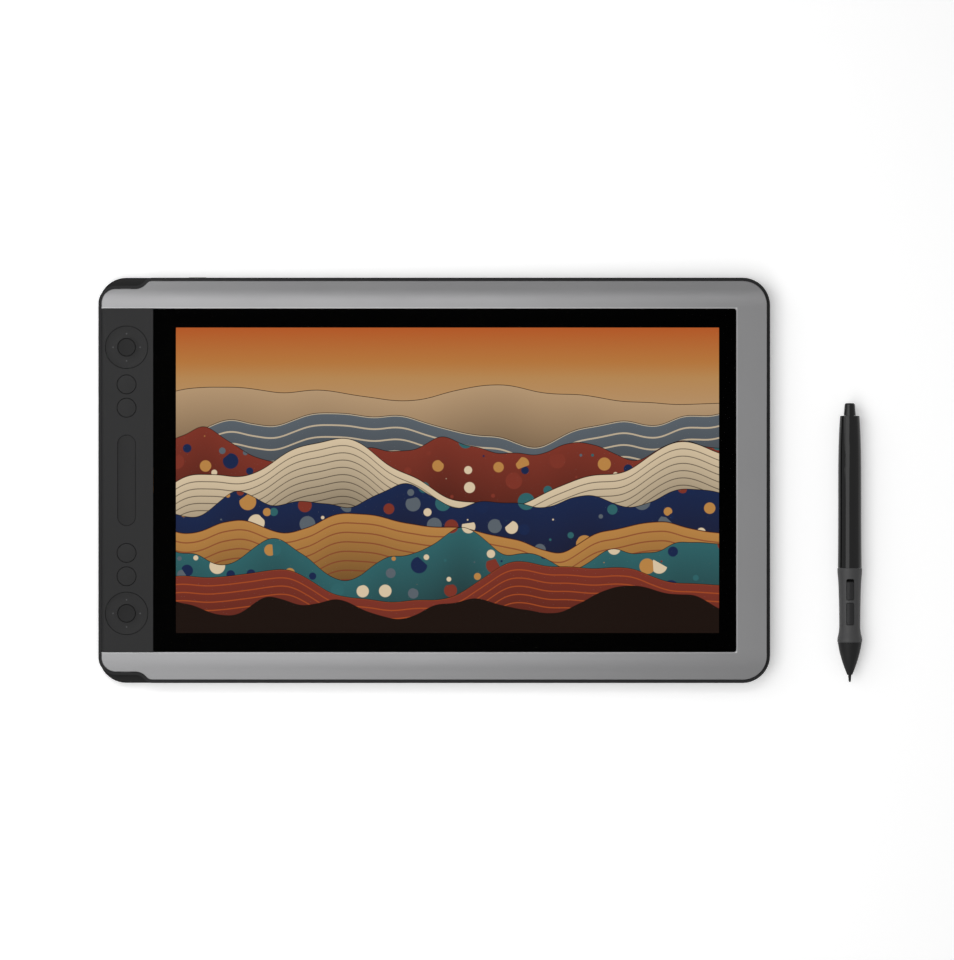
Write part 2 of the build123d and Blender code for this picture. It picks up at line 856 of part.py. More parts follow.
def led_strip():
    """Narrow strip along the lower edge of the light guide, with its row of lamps."""
    face_y = -guide_depth / 2 - fit_gap - led_depth
    half = guide_width / 2 - led_strip_margin
    strip = block(screen_offset - half, screen_offset + half, face_y - led_strip_depth, face_y, z_guide,
                  z_guide + led_strip_height)
    pitch = 2 * half / led_count
    for number in range(led_count):
        lamp_x = screen_offset - half + (number + 0.5) * pitch
        strip += block(lamp_x - led_width / 2, lamp_x + led_width / 2, face_y, face_y + led_depth, z_guide,
                       z_guide + led_strip_height)
    return strip


def lcd_cell():
    """The screen cell, laid on the moulded frame and the films."""
    return centred(lcd_width, lcd_depth, z_lcd, z_seal)


def tray_screws():
    """Four flat screws inside the tray, standing on their heads' seats and pointing down."""
    pieces = []
    for x, y in tray_screw_places():
        head_top = z_shield + shield_thickness + digitizer_thickness
        head = disc(x, y, panel_screw_head_radius, z_shield, head_top)
        pieces.append(head + disc(x, y, panel_screw_radius - fit_gap, z_mid, z_shield))
    return Part() + pieces


def key_board_outline(inset):
    """The key board's outline, or a smaller one inside it."""
    left = left_side + frame_wall + key_board_edge_gap
    middle = left + key_board_width / 2
    length = key_board_length + 2 * panel_boss_radius - 2 * inset
    return Pos(middle, 0) * Rectangle(key_board_width - 2 * inset, length)


def switch_places():
    """Places of the push switches: under every round key, ring centre and ring quarter."""
    places = [(key_x, y) for y in round_key_places]
    for ring_y in (-ring_place, ring_place):
        places.append((key_x, ring_y))
        places += [(key_x + ring_plunger_place * x, ring_y + ring_plunger_place * y) for x, y in compass]
    return places


def key_board():
    """Circuit board under the key strip, lying on the web."""
    board = slab(key_board_outline(0), z_web, z_key_board)
    for x, y in panel_screw_places:
        board -= disc(x, y, panel_screw_radius + fit_gap, z_web, z_key_board)
    return board


def key_switches():
    """The push switches on the key board."""
    pieces = []
    for x, y in switch_places():
        body = block(x - switch_body / 2, x + switch_body / 2, y - switch_body / 2, y + switch_body / 2,
                     z_key_board, z_key_board + switch_body_height)
        pieces.append(body + disc(x, y, switch_button_radius, z_key_board + switch_body_height, z_switch_top))
    return Part() + pieces


def key_carrier():
    """Moulded carrier over the key board, with windows for the switches and ears for the gimbals."""
    carrier = slab(key_board_outline(carrier_edge), z_key_board, z_carrier)
    room = switch_body / 2 + switch_clearance
    for x, y in switch_places():
        carrier -= block(x - room, x + room, y - room, y + room, z_key_board, z_carrier)
    for x, y in panel_screw_places:
        carrier -= disc(x, y, panel_screw_radius + fit_gap, z_key_board, z_carrier)
    for ring_y in (-ring_place, ring_place):
        for sign in (-1, 1):
            carrier += carrier_ear(ring_y, sign)
    return carrier


def carrier_ear(ring_y, sign):
    """One upright ear with the bore for a gimbal pin."""
    near = key_x + sign * (gimbal_outer_radius + ear_gap)
    far = near + sign * ear_thickness
    x_low, x_high = sorted((near, far))
    ear_half = ear_width / 2
    ear_top = z_ring_under - ear_top_gap
    ear = block(x_low, x_high, ring_y - ear_half, ring_y + ear_half, z_key_board, ear_top)
    bore = Plane.YZ * Pos(ring_y, z_gimbal_pin, x_low) * Circle(gimbal_pin_radius + fit_gap)
    return ear - extrude(bore, amount=ear_thickness)


def ring_pivot(ring_y):
    """Gimbal ring: its outer pins along X turn in the carrier, those along Y carry the ring pad."""
    ring = Circle(gimbal_outer_radius) - Circle(gimbal_inner_radius)
    gimbal = slab(Pos(key_x, ring_y) * ring, z_gimbal_top - gimbal_height, z_gimbal_top)
    reach = gimbal_outer_radius + gimbal_pin_length
    bore = disc(key_x, ring_y, (gimbal_inner_radius + gimbal_outer_radius) / 2, z_mid, z_crest)
    along_x = Pos(key_x, ring_y, z_gimbal_pin) * Rot(0, 90, 0) * Cylinder(gimbal_pin_radius, 2 * reach)
    along_y = Pos(key_x, ring_y, z_gimbal_pin) * Rot(90, 0, 0) * Cylinder(gimbal_pin_radius, 2 * reach)
    return gimbal + ((along_x + along_y) - bore)


def ring_pad(ring_y):
    """Rocking ring with four raised dots, two lugs on the gimbal and four plungers below."""
    base = Circle(ring_radius) - Circle(centre_key_radius + key_gap)
    pad = slab(Pos(key_x, ring_y) * base, z_ring_under, z_crest)
    middle = (ring_radius + centre_key_radius + key_gap) / 2
    half = (ring_radius - centre_key_radius - key_gap) / 2 - key_edge
    hollow = ThreePointArc((middle - half, z_crest), (middle, z_crest - ring_dish), (middle + half, z_crest))
    dish = Plane.XZ * make_face([hollow, Line((middle + half, z_crest), (middle - half, z_crest))])
    pad -= Pos(key_x, ring_y) * revolve(dish, Axis.Z)
    for x, y in compass:
        dot_x = key_x + ring_dot_place * x
        dot_y = ring_y + ring_dot_place * y
        pad += disc(dot_x, dot_y, dot_radius, z_ring_under, z_crest - ring_dish + dot_height)
        plunger_x = key_x + ring_plunger_place * x
        plunger_y = ring_y + ring_plunger_place * y
        pad += disc(plunger_x, plunger_y, ring_plunger_radius, z_switch_top + ring_drop(), z_ring_under)
    for sign in (-1, 1):
        pad += ring_lug(ring_y, sign)
    return pad


def ring_drop():
    """How far a ring plunger may go down, with its gap."""
    return ring_plunger_place * math.sin(math.radians(ring_tilt)) + plunger_gap


def ring_lug(ring_y, sign):
    """One lug under the ring pad with the bore for a gimbal pin along Y."""
    near = ring_y + sign * (gimbal_outer_radius + ear_gap)
    far = near + sign * ear_thickness
    y_low, y_high = sorted((near, far))
    low = z_gimbal_top - gimbal_height
    lug = block(key_x - ear_width / 2, key_x + ear_width / 2, y_low, y_high, low, z_ring_under)
    bore = Plane.XZ * Pos(key_x, z_gimbal_pin, -y_high) * Circle(gimbal_pin_radius + fit_gap)
    return lug - extrude(bore, amount=ear_thickness)


def key_cap(y, radius, flange_top, flange_width, flange_thickness, dome):
    """A round key: a slightly domed cap with a softened edge, its hidden flange and its plunger."""
    edge_z = z_crest - key_edge
    flange = radius + flange_width
    flange_low = flange_top - flange_thickness
    edges = [
        Line((0, flange_low), (flange, flange_low)),
        Line((flange, flange_low), (flange, flange_top)),
        Line((flange, flange_top), (radius, flange_top)),
        Line((radius, flange_top), (radius, edge_z)),
        Line((radius, edge_z), (radius - key_edge, z_crest)),
        TangentArc((0, z_crest + dome), (radius - key_edge, z_crest), tangent=(1, 0)),
        Line((0, z_crest + dome), (0, flange_low)),
    ]
    cap = revolve(Plane.XZ * make_face(edges), Axis.Z)
    plunger = disc(0, 0, plunger_radius, z_switch_top + key_travel + plunger_gap, flange_low)
    return Pos(key_x, y) * (cap + plunger)


def round_key(y):
    """A round key held under the panel. The two outer ones carry a raised dot."""
    key = key_cap(y, round_key_radius, z_panel_under, key_flange_width, key_flange_thickness, key_dome)
    if abs(y) == outer_key_place:
        key += disc(key_x, y, dot_radius, z_panel_under, z_crest + key_dome + dot_height / 2)
    return key


def centre_key(y):
    """The key in the middle of a ring, held under the ring's inner edge."""
    flange_top = z_ring_under - centre_key_rest_gap
    return key_cap(y, centre_key_radius, flange_top, centre_flange_width, centre_flange_thickness,
                   -centre_key_hollow)


def touch_bar():
    """Touch bar: a hollowed stadium set below the panel face, glued under the panel by its flange."""
    top = z_crest - touch_bar_recess
    bar = slab(touch_slot(0), z_panel_under, top)
    bar += slab(touch_slot(touch_bar_flange), z_panel_under - touch_bar_flange_thickness, z_panel_under)
    half = touch_bar_width / 2
    hollow_radius = (half ** 2 + touch_bar_hollow ** 2) / (2 * touch_bar_hollow)
    hollow = Pos(key_x, 0, top + hollow_radius - touch_bar_hollow) * Rot(90, 0, 0)
    return bar - hollow * Cylinder(hollow_radius, touch_bar_length + overrun)


def touch_bar_board():
    """Sensing board glued under the touch bar."""
    high = z_panel_under - touch_bar_flange_thickness
    return slab(touch_slot(0), high - touch_board_thickness, high)


def usb_socket():
    """A socket of the small reversible kind: a stadium shell with a tongue inside, mouth towards +Y."""
    mouth_y = back_side - notch_depth - socket_setback
    place = Pos(notch_middle, mouth_y, z_socket) * Rot(90, 0, 0)
    shell = extrude(place * SlotOverall(socket_width, socket_height), amount=socket_length)
    inner = SlotOverall(socket_width - 2 * socket_wall, socket_height - 2 * socket_wall)
    shell -= extrude(place * inner, amount=socket_length - socket_wall)
    tongue_place = place * Pos(0, 0, socket_length - socket_wall - socket_tongue_length)
    tongue = Rectangle(socket_tongue_width, socket_tongue_thickness)
    return shell + extrude(tongue_place * tongue, amount=socket_tongue_length)


def usb_sockets():
    """The two sockets, one in each notch."""
    upper = usb_socket()
    return Part() + [upper, mirror(upper, about=Plane.XZ)]


def port_boards():
    """Small boards behind the sockets, cut out so that each socket sits halfway in its board."""
    mouth_y = back_side - notch_depth - socket_setback
    far = back_side - notch_depth - frame_wall - key_gap
    low = z_web + (z_seat - z_web) * (1 - port_board_height_share) / 2
    half = port_board_width / 2
    board = block(notch_middle - half, notch_middle + half, far - port_board_depth, far, low,
                  low + port_board_thickness)
    cut_half = socket_width / 2
    board -= block(notch_middle - cut_half, notch_middle + cut_half, mouth_y - socket_length, far, low,
                   low + port_board_thickness)
    post_half = port_board_width / 2
    for sign in (-1, 1):
        post_x = notch_middle + sign * (post_half - board_screw_radius)
        board += disc(post_x, far - port_board_depth / 2, board_screw_radius, z_web, low)
    return Part() + [board, mirror(board, about=Plane.XZ)]


def power_button():
    """Power button in the frame's upper side, with a flange and a stem towards its switch."""
    front = back_side + power_button_proud
    inner = back_side - frame_wall
    place = Pos(-power_place, front, z_power) * Rot(90, 0, 0)
    cap = extrude(place * SlotOverall(power_button_width, power_button_height), amount=front - inner)
    flange_width = power_button_width + 2 * power_button_flange
    flange_place = Pos(-power_place, inner, z_power) * Rot(90, 0, 0)
    flange = flange_place * Rectangle(flange_width, power_button_height)
    cap += extrude(flange, amount=power_button_flange_depth)
    stem_start = inner - power_button_flange_depth
    stem_end = power_tip_y() + power_travel + plunger_gap
    stem_place = Pos(-power_place, stem_start, z_power) * Rot(90, 0, 0)
    return cap + extrude(stem_place * Circle(power_stem_radius), amount=stem_start - stem_end)


def power_tip_y():
    """Where the tip of the power switch ends."""
    return back_side - frame_wall - power_button_flange_depth - power_stem_radius - power_travel


def power_board():
    """Small board with the side-pushed power switch."""
    far = power_tip_y() - power_tip_length
    half = power_board_width / 2
    board_top = z_web + port_board_thickness
    board = block(-power_place - half, -power_place + half, far - power_board_depth, far, z_web, board_top)
    half = power_switch_width / 2
    board += block(-power_place - half, -power_place + half, far - power_switch_depth, far, board_top,
                   board_top + power_switch_height)
    tip_place = Pos(-power_place, far + power_tip_length, z_power) * Rot(90, 0, 0)
    return board + extrude(tip_place * Circle(power_tip_radius), amount=power_tip_length)


def main_board():
    """Main circuit board on its posts in the back cover."""
    half_x = main_board_width / 2
    half_y = main_board_depth / 2
    middle = -main_board_place
    board = block(middle - half_x, middle + half_x, -half_y, half_y, z_main_board, z_board_top)
    for x, y in board_places():
        board -= disc(x, y, board_screw_radius + fit_gap, z_main_board, z_board_top)
    return board


def on_board(x_share, y_share, length, width, height):
    """A component standing on the main board."""
    x = x_share * main_board_width / 2 - main_board_place
    y = y_share * main_board_depth / 2
    return slab(Pos(x, y) * Rectangle(length, width), z_board_top, z_board_top + height)


def board_chips():
    """Processor, memories and coils of the main board."""
    pieces = [on_board(0.0, 0.0, main_chip_size, main_chip_size, main_chip_height)]
    for share in chip_row_shares:
        pieces.append(
            on_board(chip_side_share, 2 * share, small_chip_size, small_chip_size, small_chip_height)
        )
        pieces.append(on_board(coil_side_share, 2 * share, coil_size, coil_size, coil_height))
    return Part() + pieces


def board_connectors():
    """Flat-cable connectors of the main board: keys on the left, screen below, ports above and below."""
    pieces = [on_board(key_connector_share, 0, connector_width, connector_length, connector_height)]
    pieces.append(on_board(0, screen_connector_share, connector_length, connector_width, connector_height))
    for sign in (-1, 1):
        place = sign * port_connector_share
        connector = on_board(
            port_connector_x_share, place, port_cable_width, connector_width, connector_height
        )
        pieces.append(connector)
    return Part() + pieces


def board_screws():
    """Four screws, heads up, that hold the main board on its posts."""
    pieces = []
    for x, y in board_places():
        shaft = disc(x, y, board_screw_radius - fit_gap, z_floor, z_board_top)
        head = disc(x, y, board_screw_head_radius, z_board_top, z_board_top + board_screw_head_height)
        pieces.append(shaft + head)
    return Part() + pieces


def ribbon(points, width, y):
    """A flat cable: a thin strip along points in the XZ plane, as wide as given, centred on y."""
    strip = []
    for (x_0, z_0), (x_1, z_1) in zip(points, points[1:]):
        x_low, x_high = sorted((x_0, x_1))
        z_low, z_high = sorted((z_0, z_1))
        strip.append(block(x_low, x_high + cable_thickness, y - width / 2, y + width / 2, z_low,
                           z_high + cable_thickness))
    return Part() + strip


def key_cable():
    """Flat cable from the key board down through the web to the main board."""
    start = left_side + frame_wall + key_board_edge_gap + key_board_width - carrier_edge
    drop = glass_left + tray_edge_gap - cable_thickness
    connector_x = -main_board_place + key_connector_share * main_board_width / 2
    board_x = connector_x - connector_width / 2 - cable_thickness
    connector_z = z_board_top + connector_height / 2
    points = [(start, z_key_board), (drop, z_key_board), (drop, connector_z), (board_x, connector_z)]
    return ribbon(points, cable_width, 0)


def screen_cable():
    """Flat cable from behind the screen down to the main board."""
    x = -main_board_place
    y = screen_cable_y
    cell_side = block(x - cable_width / 2, x + cable_width / 2, y, y + cable_thickness, z_board_top, z_guide)
    connector_y = screen_connector_share * main_board_depth / 2 - connector_width / 2
    foot = block(x - cable_width / 2, x + cable_width / 2, y, connector_y, z_board_top + cable_thickness,
                 z_board_top + 2 * cable_thickness)
    return cell_side + foot


def port_cable():
    """Flat cable from one port board over the back cover's floor to the main board."""
    port_y = port_board_edge()
    x_low = notch_middle - port_cable_width / 2
    x_high = notch_middle + port_cable_width / 2
    z_low = z_floor + back_rib_height
    board_x = -main_board_place + port_connector_x_share * main_board_width / 2
    down = block(x_low, x_high, port_y - cable_thickness, port_y, z_low, z_web + key_board_thickness)
    across = block(x_low, board_x + port_cable_width / 2, port_y - cable_thickness - port_cable_width,
                   port_y - cable_thickness, z_low, z_low + cable_thickness)
    x_left = board_x - port_cable_width / 2
    x_right = board_x + port_cable_width / 2
    edge_y = main_board_depth / 2 + key_gap
    connector_y = port_connector_share * main_board_depth / 2 + connector_width / 2
    z_high = z_board_top + connector_height / 2
    back = block(x_left, x_right, edge_y, port_y - cable_thickness, z_low, z_low + cable_thickness)
    rise = block(x_left, x_right, edge_y, edge_y + cable_thickness, z_low, z_high)
    end = block(x_left, x_right, connector_y, edge_y + cable_thickness, z_high, z_high + cable_thickness)
    return down + across + back + rise + end


def port_cables():
    """The two port cables."""
    upper = port_cable()
    return Part() + [upper, mirror(upper, about=Plane.XZ)]


def pen_place(shape):
    """Put a pen piece, made with its tip at zero and its axis along Y, in its place on the table."""
    return Pos(pen_x - tablet_x, pen_tip_y, pen_radius) * shape


def turned(edges):
    """Turn a closed outline of radius and length about the pen's axis."""
    return revolve(make_face(edges), Axis.Y)


def share_points(shares, start, length):
    """Outline points from shares of a length and of the pen's largest radius."""
    return [(radius * pen_radius, start + place * length) for place, radius in shares]


def along(y_low, y_high, radius):
    """A cylinder on the pen's axis."""
    return extrude(Plane.XZ * Pos(0, 0, -y_high) * Circle(radius), amount=y_high - y_low)


def pen_box(width, y_low, y_high, z_low, z_high):
    """A block centred over the pen's axis."""
    return block(-width / 2, width / 2, y_low, y_high, z_low, z_high)


cone_start = nib_exposed
grip_start = cone_start + cone_length
barrel_start = grip_start + grip_length
barrel_end = pen_length - tail_length
lower_window = window_start
upper_window = window_start + lower_window_length + window_bridge
sensor_start = nib_length + holder_length - holder_grip + nib_travel + side_switch_gap
core_start = sensor_start + sensor_length
core_radius = pen_bore - pen_wall - 2 * fit_gap
board_start = core_start + side_switch_gap
z_pen_board = -core_top + pen_board_thickness
z_dome = z_pen_board + dome_height


def swept_shell(shares, start, length, bore, bore_end):
    """A turned shell whose outside follows the shares, with a straight bore."""
    points = share_points(shares, start, length)
    edges = [
        Line((bore, start), points[0]),
        Spline(points),
        Line(points[-1], (bore_end, start + length)),
        Line((bore_end, start + length), (bore, start)),
    ]
    return turned(edges)


def pen_cone():
    """Cone at the tip, with the nib's bore, the coil's chamber and a spigot into the grip."""
    cone = swept_shell(cone_shares, cone_start, cone_length - pen_seam, nib_radius + nib_bore_gap,
                       nib_radius + nib_bore_gap)
    cone -= along(cone_chamber_start, grip_start, cone_chamber_radius)
    cone -= along(grip_start - spigot_length, grip_start, pen_bore - pen_wall)
    spigot = along(grip_start - pen_wall, grip_start + spigot_length, pen_bore - fit_gap)
    return cone + (spigot - along(grip_start - pen_wall, grip_start + spigot_length, pen_bore - pen_wall))


def pen_windows(narrowed):
    """The two side-switch windows, as a block standing on the pen's axis."""
    cuts = []
    for start, length in ((lower_window, lower_window_length), (upper_window, upper_window_length)):
        face = RectangleRounded(window_width - 2 * narrowed, length - 2 * narrowed, window_round - narrowed)
        cuts.append(slab(Pos(0, start + length / 2) * face, 0, pen_radius))
    return cuts


def pen_grip():
    """Soft waisted grip with the two windows of the side switches."""
    grip = swept_shell(grip_shares, grip_start, grip_length - pen_seam, pen_bore, pen_bore)
    return grip - pen_windows(0)


def pen_barrel():
    """Glossy barrel with a spigot into the grip and a shoulder for the tail cap."""
    length = barrel_end - barrel_start
    bore_end = barrel_end - spigot_length
    points = share_points(barrel_shares, barrel_start, length)
    edges = [
        Line((0, barrel_start), points[0]),
        Spline(points),
        Line(points[-1], (0, barrel_end)),
        Line((0, barrel_end), (0, barrel_start)),
    ]
    barrel = turned(edges) + along(barrel_start - spigot_length, barrel_start, pen_bore - fit_gap)
    barrel -= along(barrel_start - spigot_length, bore_end, pen_bore - pen_wall)
    barrel -= along(barrel_start + pen_wall, bore_end, pen_bore)
    return barrel - along(bore_end, barrel_end, tail_radius - pen_wall)


def pen_tail_cap():
    """Rounded cap at the tail with its spigot in the barrel."""
    end = pen_length
    points = [(tail_radius, barrel_end + pen_seam), (tail_end_radius, end - tail_round)]
    edges = [
        Line((0, barrel_end - spigot_length), (tail_radius - pen_wall - fit_gap, barrel_end - spigot_length)),
        Line((tail_radius - pen_wall - fit_gap, barrel_end - spigot_length),
             (tail_radius - pen_wall - fit_gap, barrel_end + pen_seam)),
        Line((tail_radius - pen_wall - fit_gap, barrel_end + pen_seam), points[0]),
        Line(points[0], points[1]),
        TangentArc((tail_end_radius - tail_round, end), points[1], tangent=(1, 0)),
        Line((tail_end_radius - tail_round, end), (0, end)),
        Line((0, end), (0, barrel_end - spigot_length)),
    ]
    return turned(edges)


def pen_nib():
    """Replaceable nib: a thin rod with a rounded, slightly tapered tip."""
    edges = [
        CenterArc((0, nib_tip_radius), nib_tip_radius, 270, 90),
        Line((nib_tip_radius, nib_tip_radius), (nib_radius, nib_exposed)),
        Line((nib_radius, nib_exposed), (nib_radius, nib_length)),
        Line((nib_radius, nib_length), (0, nib_length)),
        Line((0, nib_length), (0, 0)),
    ]
    return turned(edges)


def pen_nib_holder():
    """Socket that grips the nib's end and presses on the sensor."""
    start = nib_length - holder_grip
    holder = along(start, start + holder_length, holder_radius)
    return holder - along(start, nib_length, nib_radius)


def pen_ferrite():
    """Magnetic sleeve round the nib."""
    sleeve = along(ferrite_start, ferrite_start + ferrite_length, ferrite_radius)
    return sleeve - along(ferrite_start, ferrite_start + ferrite_length, nib_radius + nib_bore_gap)


def pen_coil():
    """Wire coil wound on the magnetic sleeve, as one closed winding."""
    start = ferrite_start + coil_start_gap
    return along(start, start + coil_length, coil_radius) - along(start, start + coil_length, ferrite_radius)


def pen_sensor():
    """Pressure sensor behind the nib holder."""
    return along(sensor_start, sensor_start + sensor_length, sensor_radius)


def pen_core():
    """Carrier in the lower half of the bore, with a level bed for the pen's board."""
    core = along(core_start, core_start + core_length, core_radius)
    return core - pen_box(2 * core_radius, core_start, core_start + core_length, -core_top, core_radius)


def pen_board():
    """The pen's circuit board on its carrier."""
    return pen_box(pen_board_width, board_start, board_start + pen_board_length, -core_top, z_pen_board)


def side_switch_middles():
    """Middle of each side switch along the pen: lower first, then upper."""
    lower = lower_window + lower_window_length / 2
    upper = upper_window + (upper_window_length - upper_switch_short) / 2
    return lower, upper


def pen_switch_domes():
    """The two small push switches under the side switches."""
    pieces = []
    for middle in side_switch_middles():
        pieces.append(pen_box(dome_size, middle - dome_size / 2, middle + dome_size / 2, z_pen_board, z_dome))
    return Part() + pieces


def is_cap_top(edge):
    """True for an edge round the top of a side switch."""
    box = edge.bounding_box()
    return box.min.Z > side_flange_height + pen_wall


def pen_switch(middle, length, top_share):
    """One side switch: a rounded cap in its window, a flange under the grip and a plunger."""
    width = window_width - 2 * side_switch_gap
    cap_length = length - 2 * side_switch_gap
    face = RectangleRounded(width, cap_length, window_round - side_switch_gap)
    cap = slab(Pos(0, middle) * face, side_flange_height, pen_radius)
    cap = cap & along(middle - length, middle + length, top_share * pen_radius)
    cap = fillet([edge for edge in cap.edges() if is_cap_top(edge)], side_switch_round)
    flange_half = cap_length / 2 + side_flange_overlap
    flange_low = side_flange_height - side_flange_thickness
    cap += pen_box(
        side_flange_width, middle - flange_half, middle + flange_half, flange_low, side_flange_height
    )
    plunger = disc(0, middle, side_plunger_radius, z_dome + side_switch_travel + plunger_gap, flange_low)
    return cap + plunger


def build():
    """Every node of the tablet and of the pen, by name."""
    tablet = {
        "back_cover": back_cover(),
        "rubber_feet": rubber_feet(),
        "vesa_inserts": vesa_inserts(),
        "back_screws": back_screws(),
        "mid_frame": mid_frame(),
        "front_bezel": front_bezel(),
        "key_panel": key_panel(),
        "panel_screws": panel_screws(),
        "cover_glass": cover_glass(),
        "border_mask": border_mask(),
        "glass_seal": glass_seal(),
        "panel_tray": panel_tray(),
        "tray_screws": tray_screws(),
        "shield_plate": shield_plate(),
        "digitizer_board": digitizer_board(),
        "panel_frame": panel_frame(),
        "light_guide": light_guide(),
        "led_strip": led_strip(),
        "diffuser_sheets": diffuser_sheets(),
        "lcd_cell": lcd_cell(),
        "key_board": key_board(),
        "key_switches": key_switches(),
        "key_carrier": key_carrier(),
        "ring_pivot_top": ring_pivot(ring_place),
        "ring_pivot_bottom": ring_pivot(-ring_place),
        "ring_pad_top": ring_pad(ring_place),
        "ring_pad_bottom": ring_pad(-ring_place),
        "centre_key_top": centre_key(ring_place),
        "centre_key_bottom": centre_key(-ring_place),
        "touch_bar": touch_bar(),
        "touch_bar_board": touch_bar_board(),
        "usb_sockets": usb_sockets(),
        "port_boards": port_boards(),
        "power_button": power_button(),
        "power_board": power_board(),
        "main_board": main_board(),
        "board_chips": board_chips(),
        "board_connectors": board_connectors(),
        "board_screws": board_screws(),
        "key_cable": key_cable(),
        "screen_cable": screen_cable(),
        "port_cables": port_cables(),
    }
    for number, y in enumerate(round_key_places, start=1):
        tablet["round_key_" + str(number)] = round_key(y)
    lower, upper = side_switch_middles()
    upper_length = upper_window_length - upper_switch_short
    pen = {
        "pen_barrel": pen_barrel(),
        "pen_tail_cap": pen_tail_cap(),
        "pen_grip": pen_grip(),
        "pen_cone": pen_cone(),
        "pen_nib": pen_nib(),
        "pen_nib_holder": pen_nib_holder(),
        "pen_ferrite": pen_ferrite(),
        "pen_coil": pen_coil(),
        "pen_sensor": pen_sensor(),
        "pen_core": pen_core(),
        "pen_board": pen_board(),
        "pen_switch_domes": pen_switch_domes(),
        "pen_switch_lower": pen_switch(lower, lower_window_length, lower_switch_share),
        "pen_switch_upper": pen_switch(upper, upper_length, upper_switch_share),
    }
    for name, shape in pen.items():
        tablet[name] = pen_place(shape)
    return tablet


os.makedirs("parts", exist_ok=True)
for node_name, node_shape in build().items():
    export_step(Pos(tablet_x, 0, 0) * node_shape, os.path.join("parts", node_name + ".step"))
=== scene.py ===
"""Looks for a graphics tablet with a screen and its pen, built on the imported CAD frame."""

import bpy
import numpy as np
from bpy.props import FloatProperty, FloatVectorProperty, PointerProperty
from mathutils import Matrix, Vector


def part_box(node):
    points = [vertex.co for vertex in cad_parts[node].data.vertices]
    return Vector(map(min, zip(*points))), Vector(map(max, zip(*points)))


bl_info = {
    "name": "Graphics Tablet Looks",
    "version": (1, 0, 0),
    "blender": (4, 5, 0),
    "location": "View3D > Sidebar > Tablet",
    "description": "Finishes, screen picture and studio for a graphics tablet with a screen",
    "category": "Object",
}

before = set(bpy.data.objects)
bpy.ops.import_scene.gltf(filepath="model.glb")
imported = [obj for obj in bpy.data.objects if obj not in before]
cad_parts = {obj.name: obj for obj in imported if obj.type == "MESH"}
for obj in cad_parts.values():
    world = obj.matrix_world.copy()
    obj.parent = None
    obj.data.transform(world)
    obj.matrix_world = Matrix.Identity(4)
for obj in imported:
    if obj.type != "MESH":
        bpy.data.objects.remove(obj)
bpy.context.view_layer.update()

SCREEN_LOW, SCREEN_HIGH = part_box("lcd_cell")
TABLET_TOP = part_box("mid_frame")[1].z

# The colour sockets of a Mix node.
MIX_SHARE, MIX_BELOW, MIX_ABOVE, MIX_RESULT = 0, 6, 7, 2

# Moulded plastic: broad smudges in the roughness, and the height of the fine grain in metres.
SMUDGE_SCALE = 18.0
SMUDGE_DEPTH = 0.12
GRAIN_HEIGHT = 0.0001
GRAIN_SCALE = 4000.0
PEN_GRAIN_SCALE = 6000.0

# Cover glass: an IOR below that of real glass keeps its mirror image faint.
GLASS_IOR = 1.14
GLASS_ROUGHNESS = 0.12

# Screen picture, in metres: where a colour of the sky sets in above the middle, and over what
# height it comes in.
AMBER_SKY = (0.035, 0.04)
ORANGE_SKY = (0.065, 0.035)
HILL_EDGE_SOFTNESS = 0.0002
HILL_OUTLINE = 0.0005
HILL_SHADE_DEPTH = 0.05
HILL_SHADE = 0.75
# Rows: the width of a line as a share of their spacing, and its strength.
ROW_WIDTH = 0.14
ROW_STRENGTH = 0.7
# Pebbles: cells per metre, and the largest radius and the soft edge as shares of a cell.
PEBBLE_SCALE = 75.0
PEBBLE_RADIUS = 0.42
PEBBLE_SOFTNESS = 0.03
PEBBLE_COLOURS = ("navy", "teal", "cream", "brick", "slate", "amber")
# Hills from back to front: level of the edge above the middle, swing of the edge, waves per metre,
# seed of the noise, colour, then the colour and spacing of the rows, and whether it has pebbles.
HILLS = (
    (0.052, 0.050, 7.0, 1.3, "haze", None, False),
    (0.036, 0.070, 9.0, 5.1, "slate", ("cream", 0.0075), False),
    (0.020, 0.060, 13.0, 9.7, "brick", None, True),
    (0.004, 0.070, 8.0, 14.2, "cream", ("ground", 0.0046), False),
    (-0.014, 0.065, 11.0, 19.6, "navy", None, True),
    (-0.030, 0.070, 10.0, 21.9, "amber", ("brick", 0.0060), False),
    (-0.046, 0.060, 14.0, 27.3, "teal", None, True),
    (-0.062, 0.055, 9.0, 33.8, "brick", ("sky", 0.0052), False),
    (-0.078, 0.045, 12.0, 41.0, "ground", None, False),
)

# Studio: half the side of the floor and its height in metres, the lens in millimetres, and how far
# the camera sees in metres.
FLOOR_REACH = 6.0
FLOOR_HEIGHT = -0.0001
LENS = 300.0
SIGHT = 100.0


def colour_property(name, description, default):
    """A linear colour that a user may change."""
    return FloatVectorProperty(
        name=name,
        description=description,
        default=default,
        min=0.0,
        max=1.0,
        size=3,
        subtype="COLOR",
    )


def length_property(name, description, default):
    """A length in metres that a user may change."""
    return FloatProperty(
        name=name, description=description, default=default, min=0.0, unit="LENGTH"
    )


def place_property(name, description, default):
    """A coordinate in metres, which may be negative."""
    return FloatProperty(name=name, description=description, default=default, unit="LENGTH")


def share_property(name, description, default):
    """A share between nothing and all."""
    return FloatProperty(
        name=name, description=description, default=default, min=0.0, max=1.0, subtype="FACTOR"
    )


def power_property(name, description, default):
    """The power of a lamp in watts."""
    return FloatProperty(name=name, description=description, default=default, min=0.0, unit="POWER")


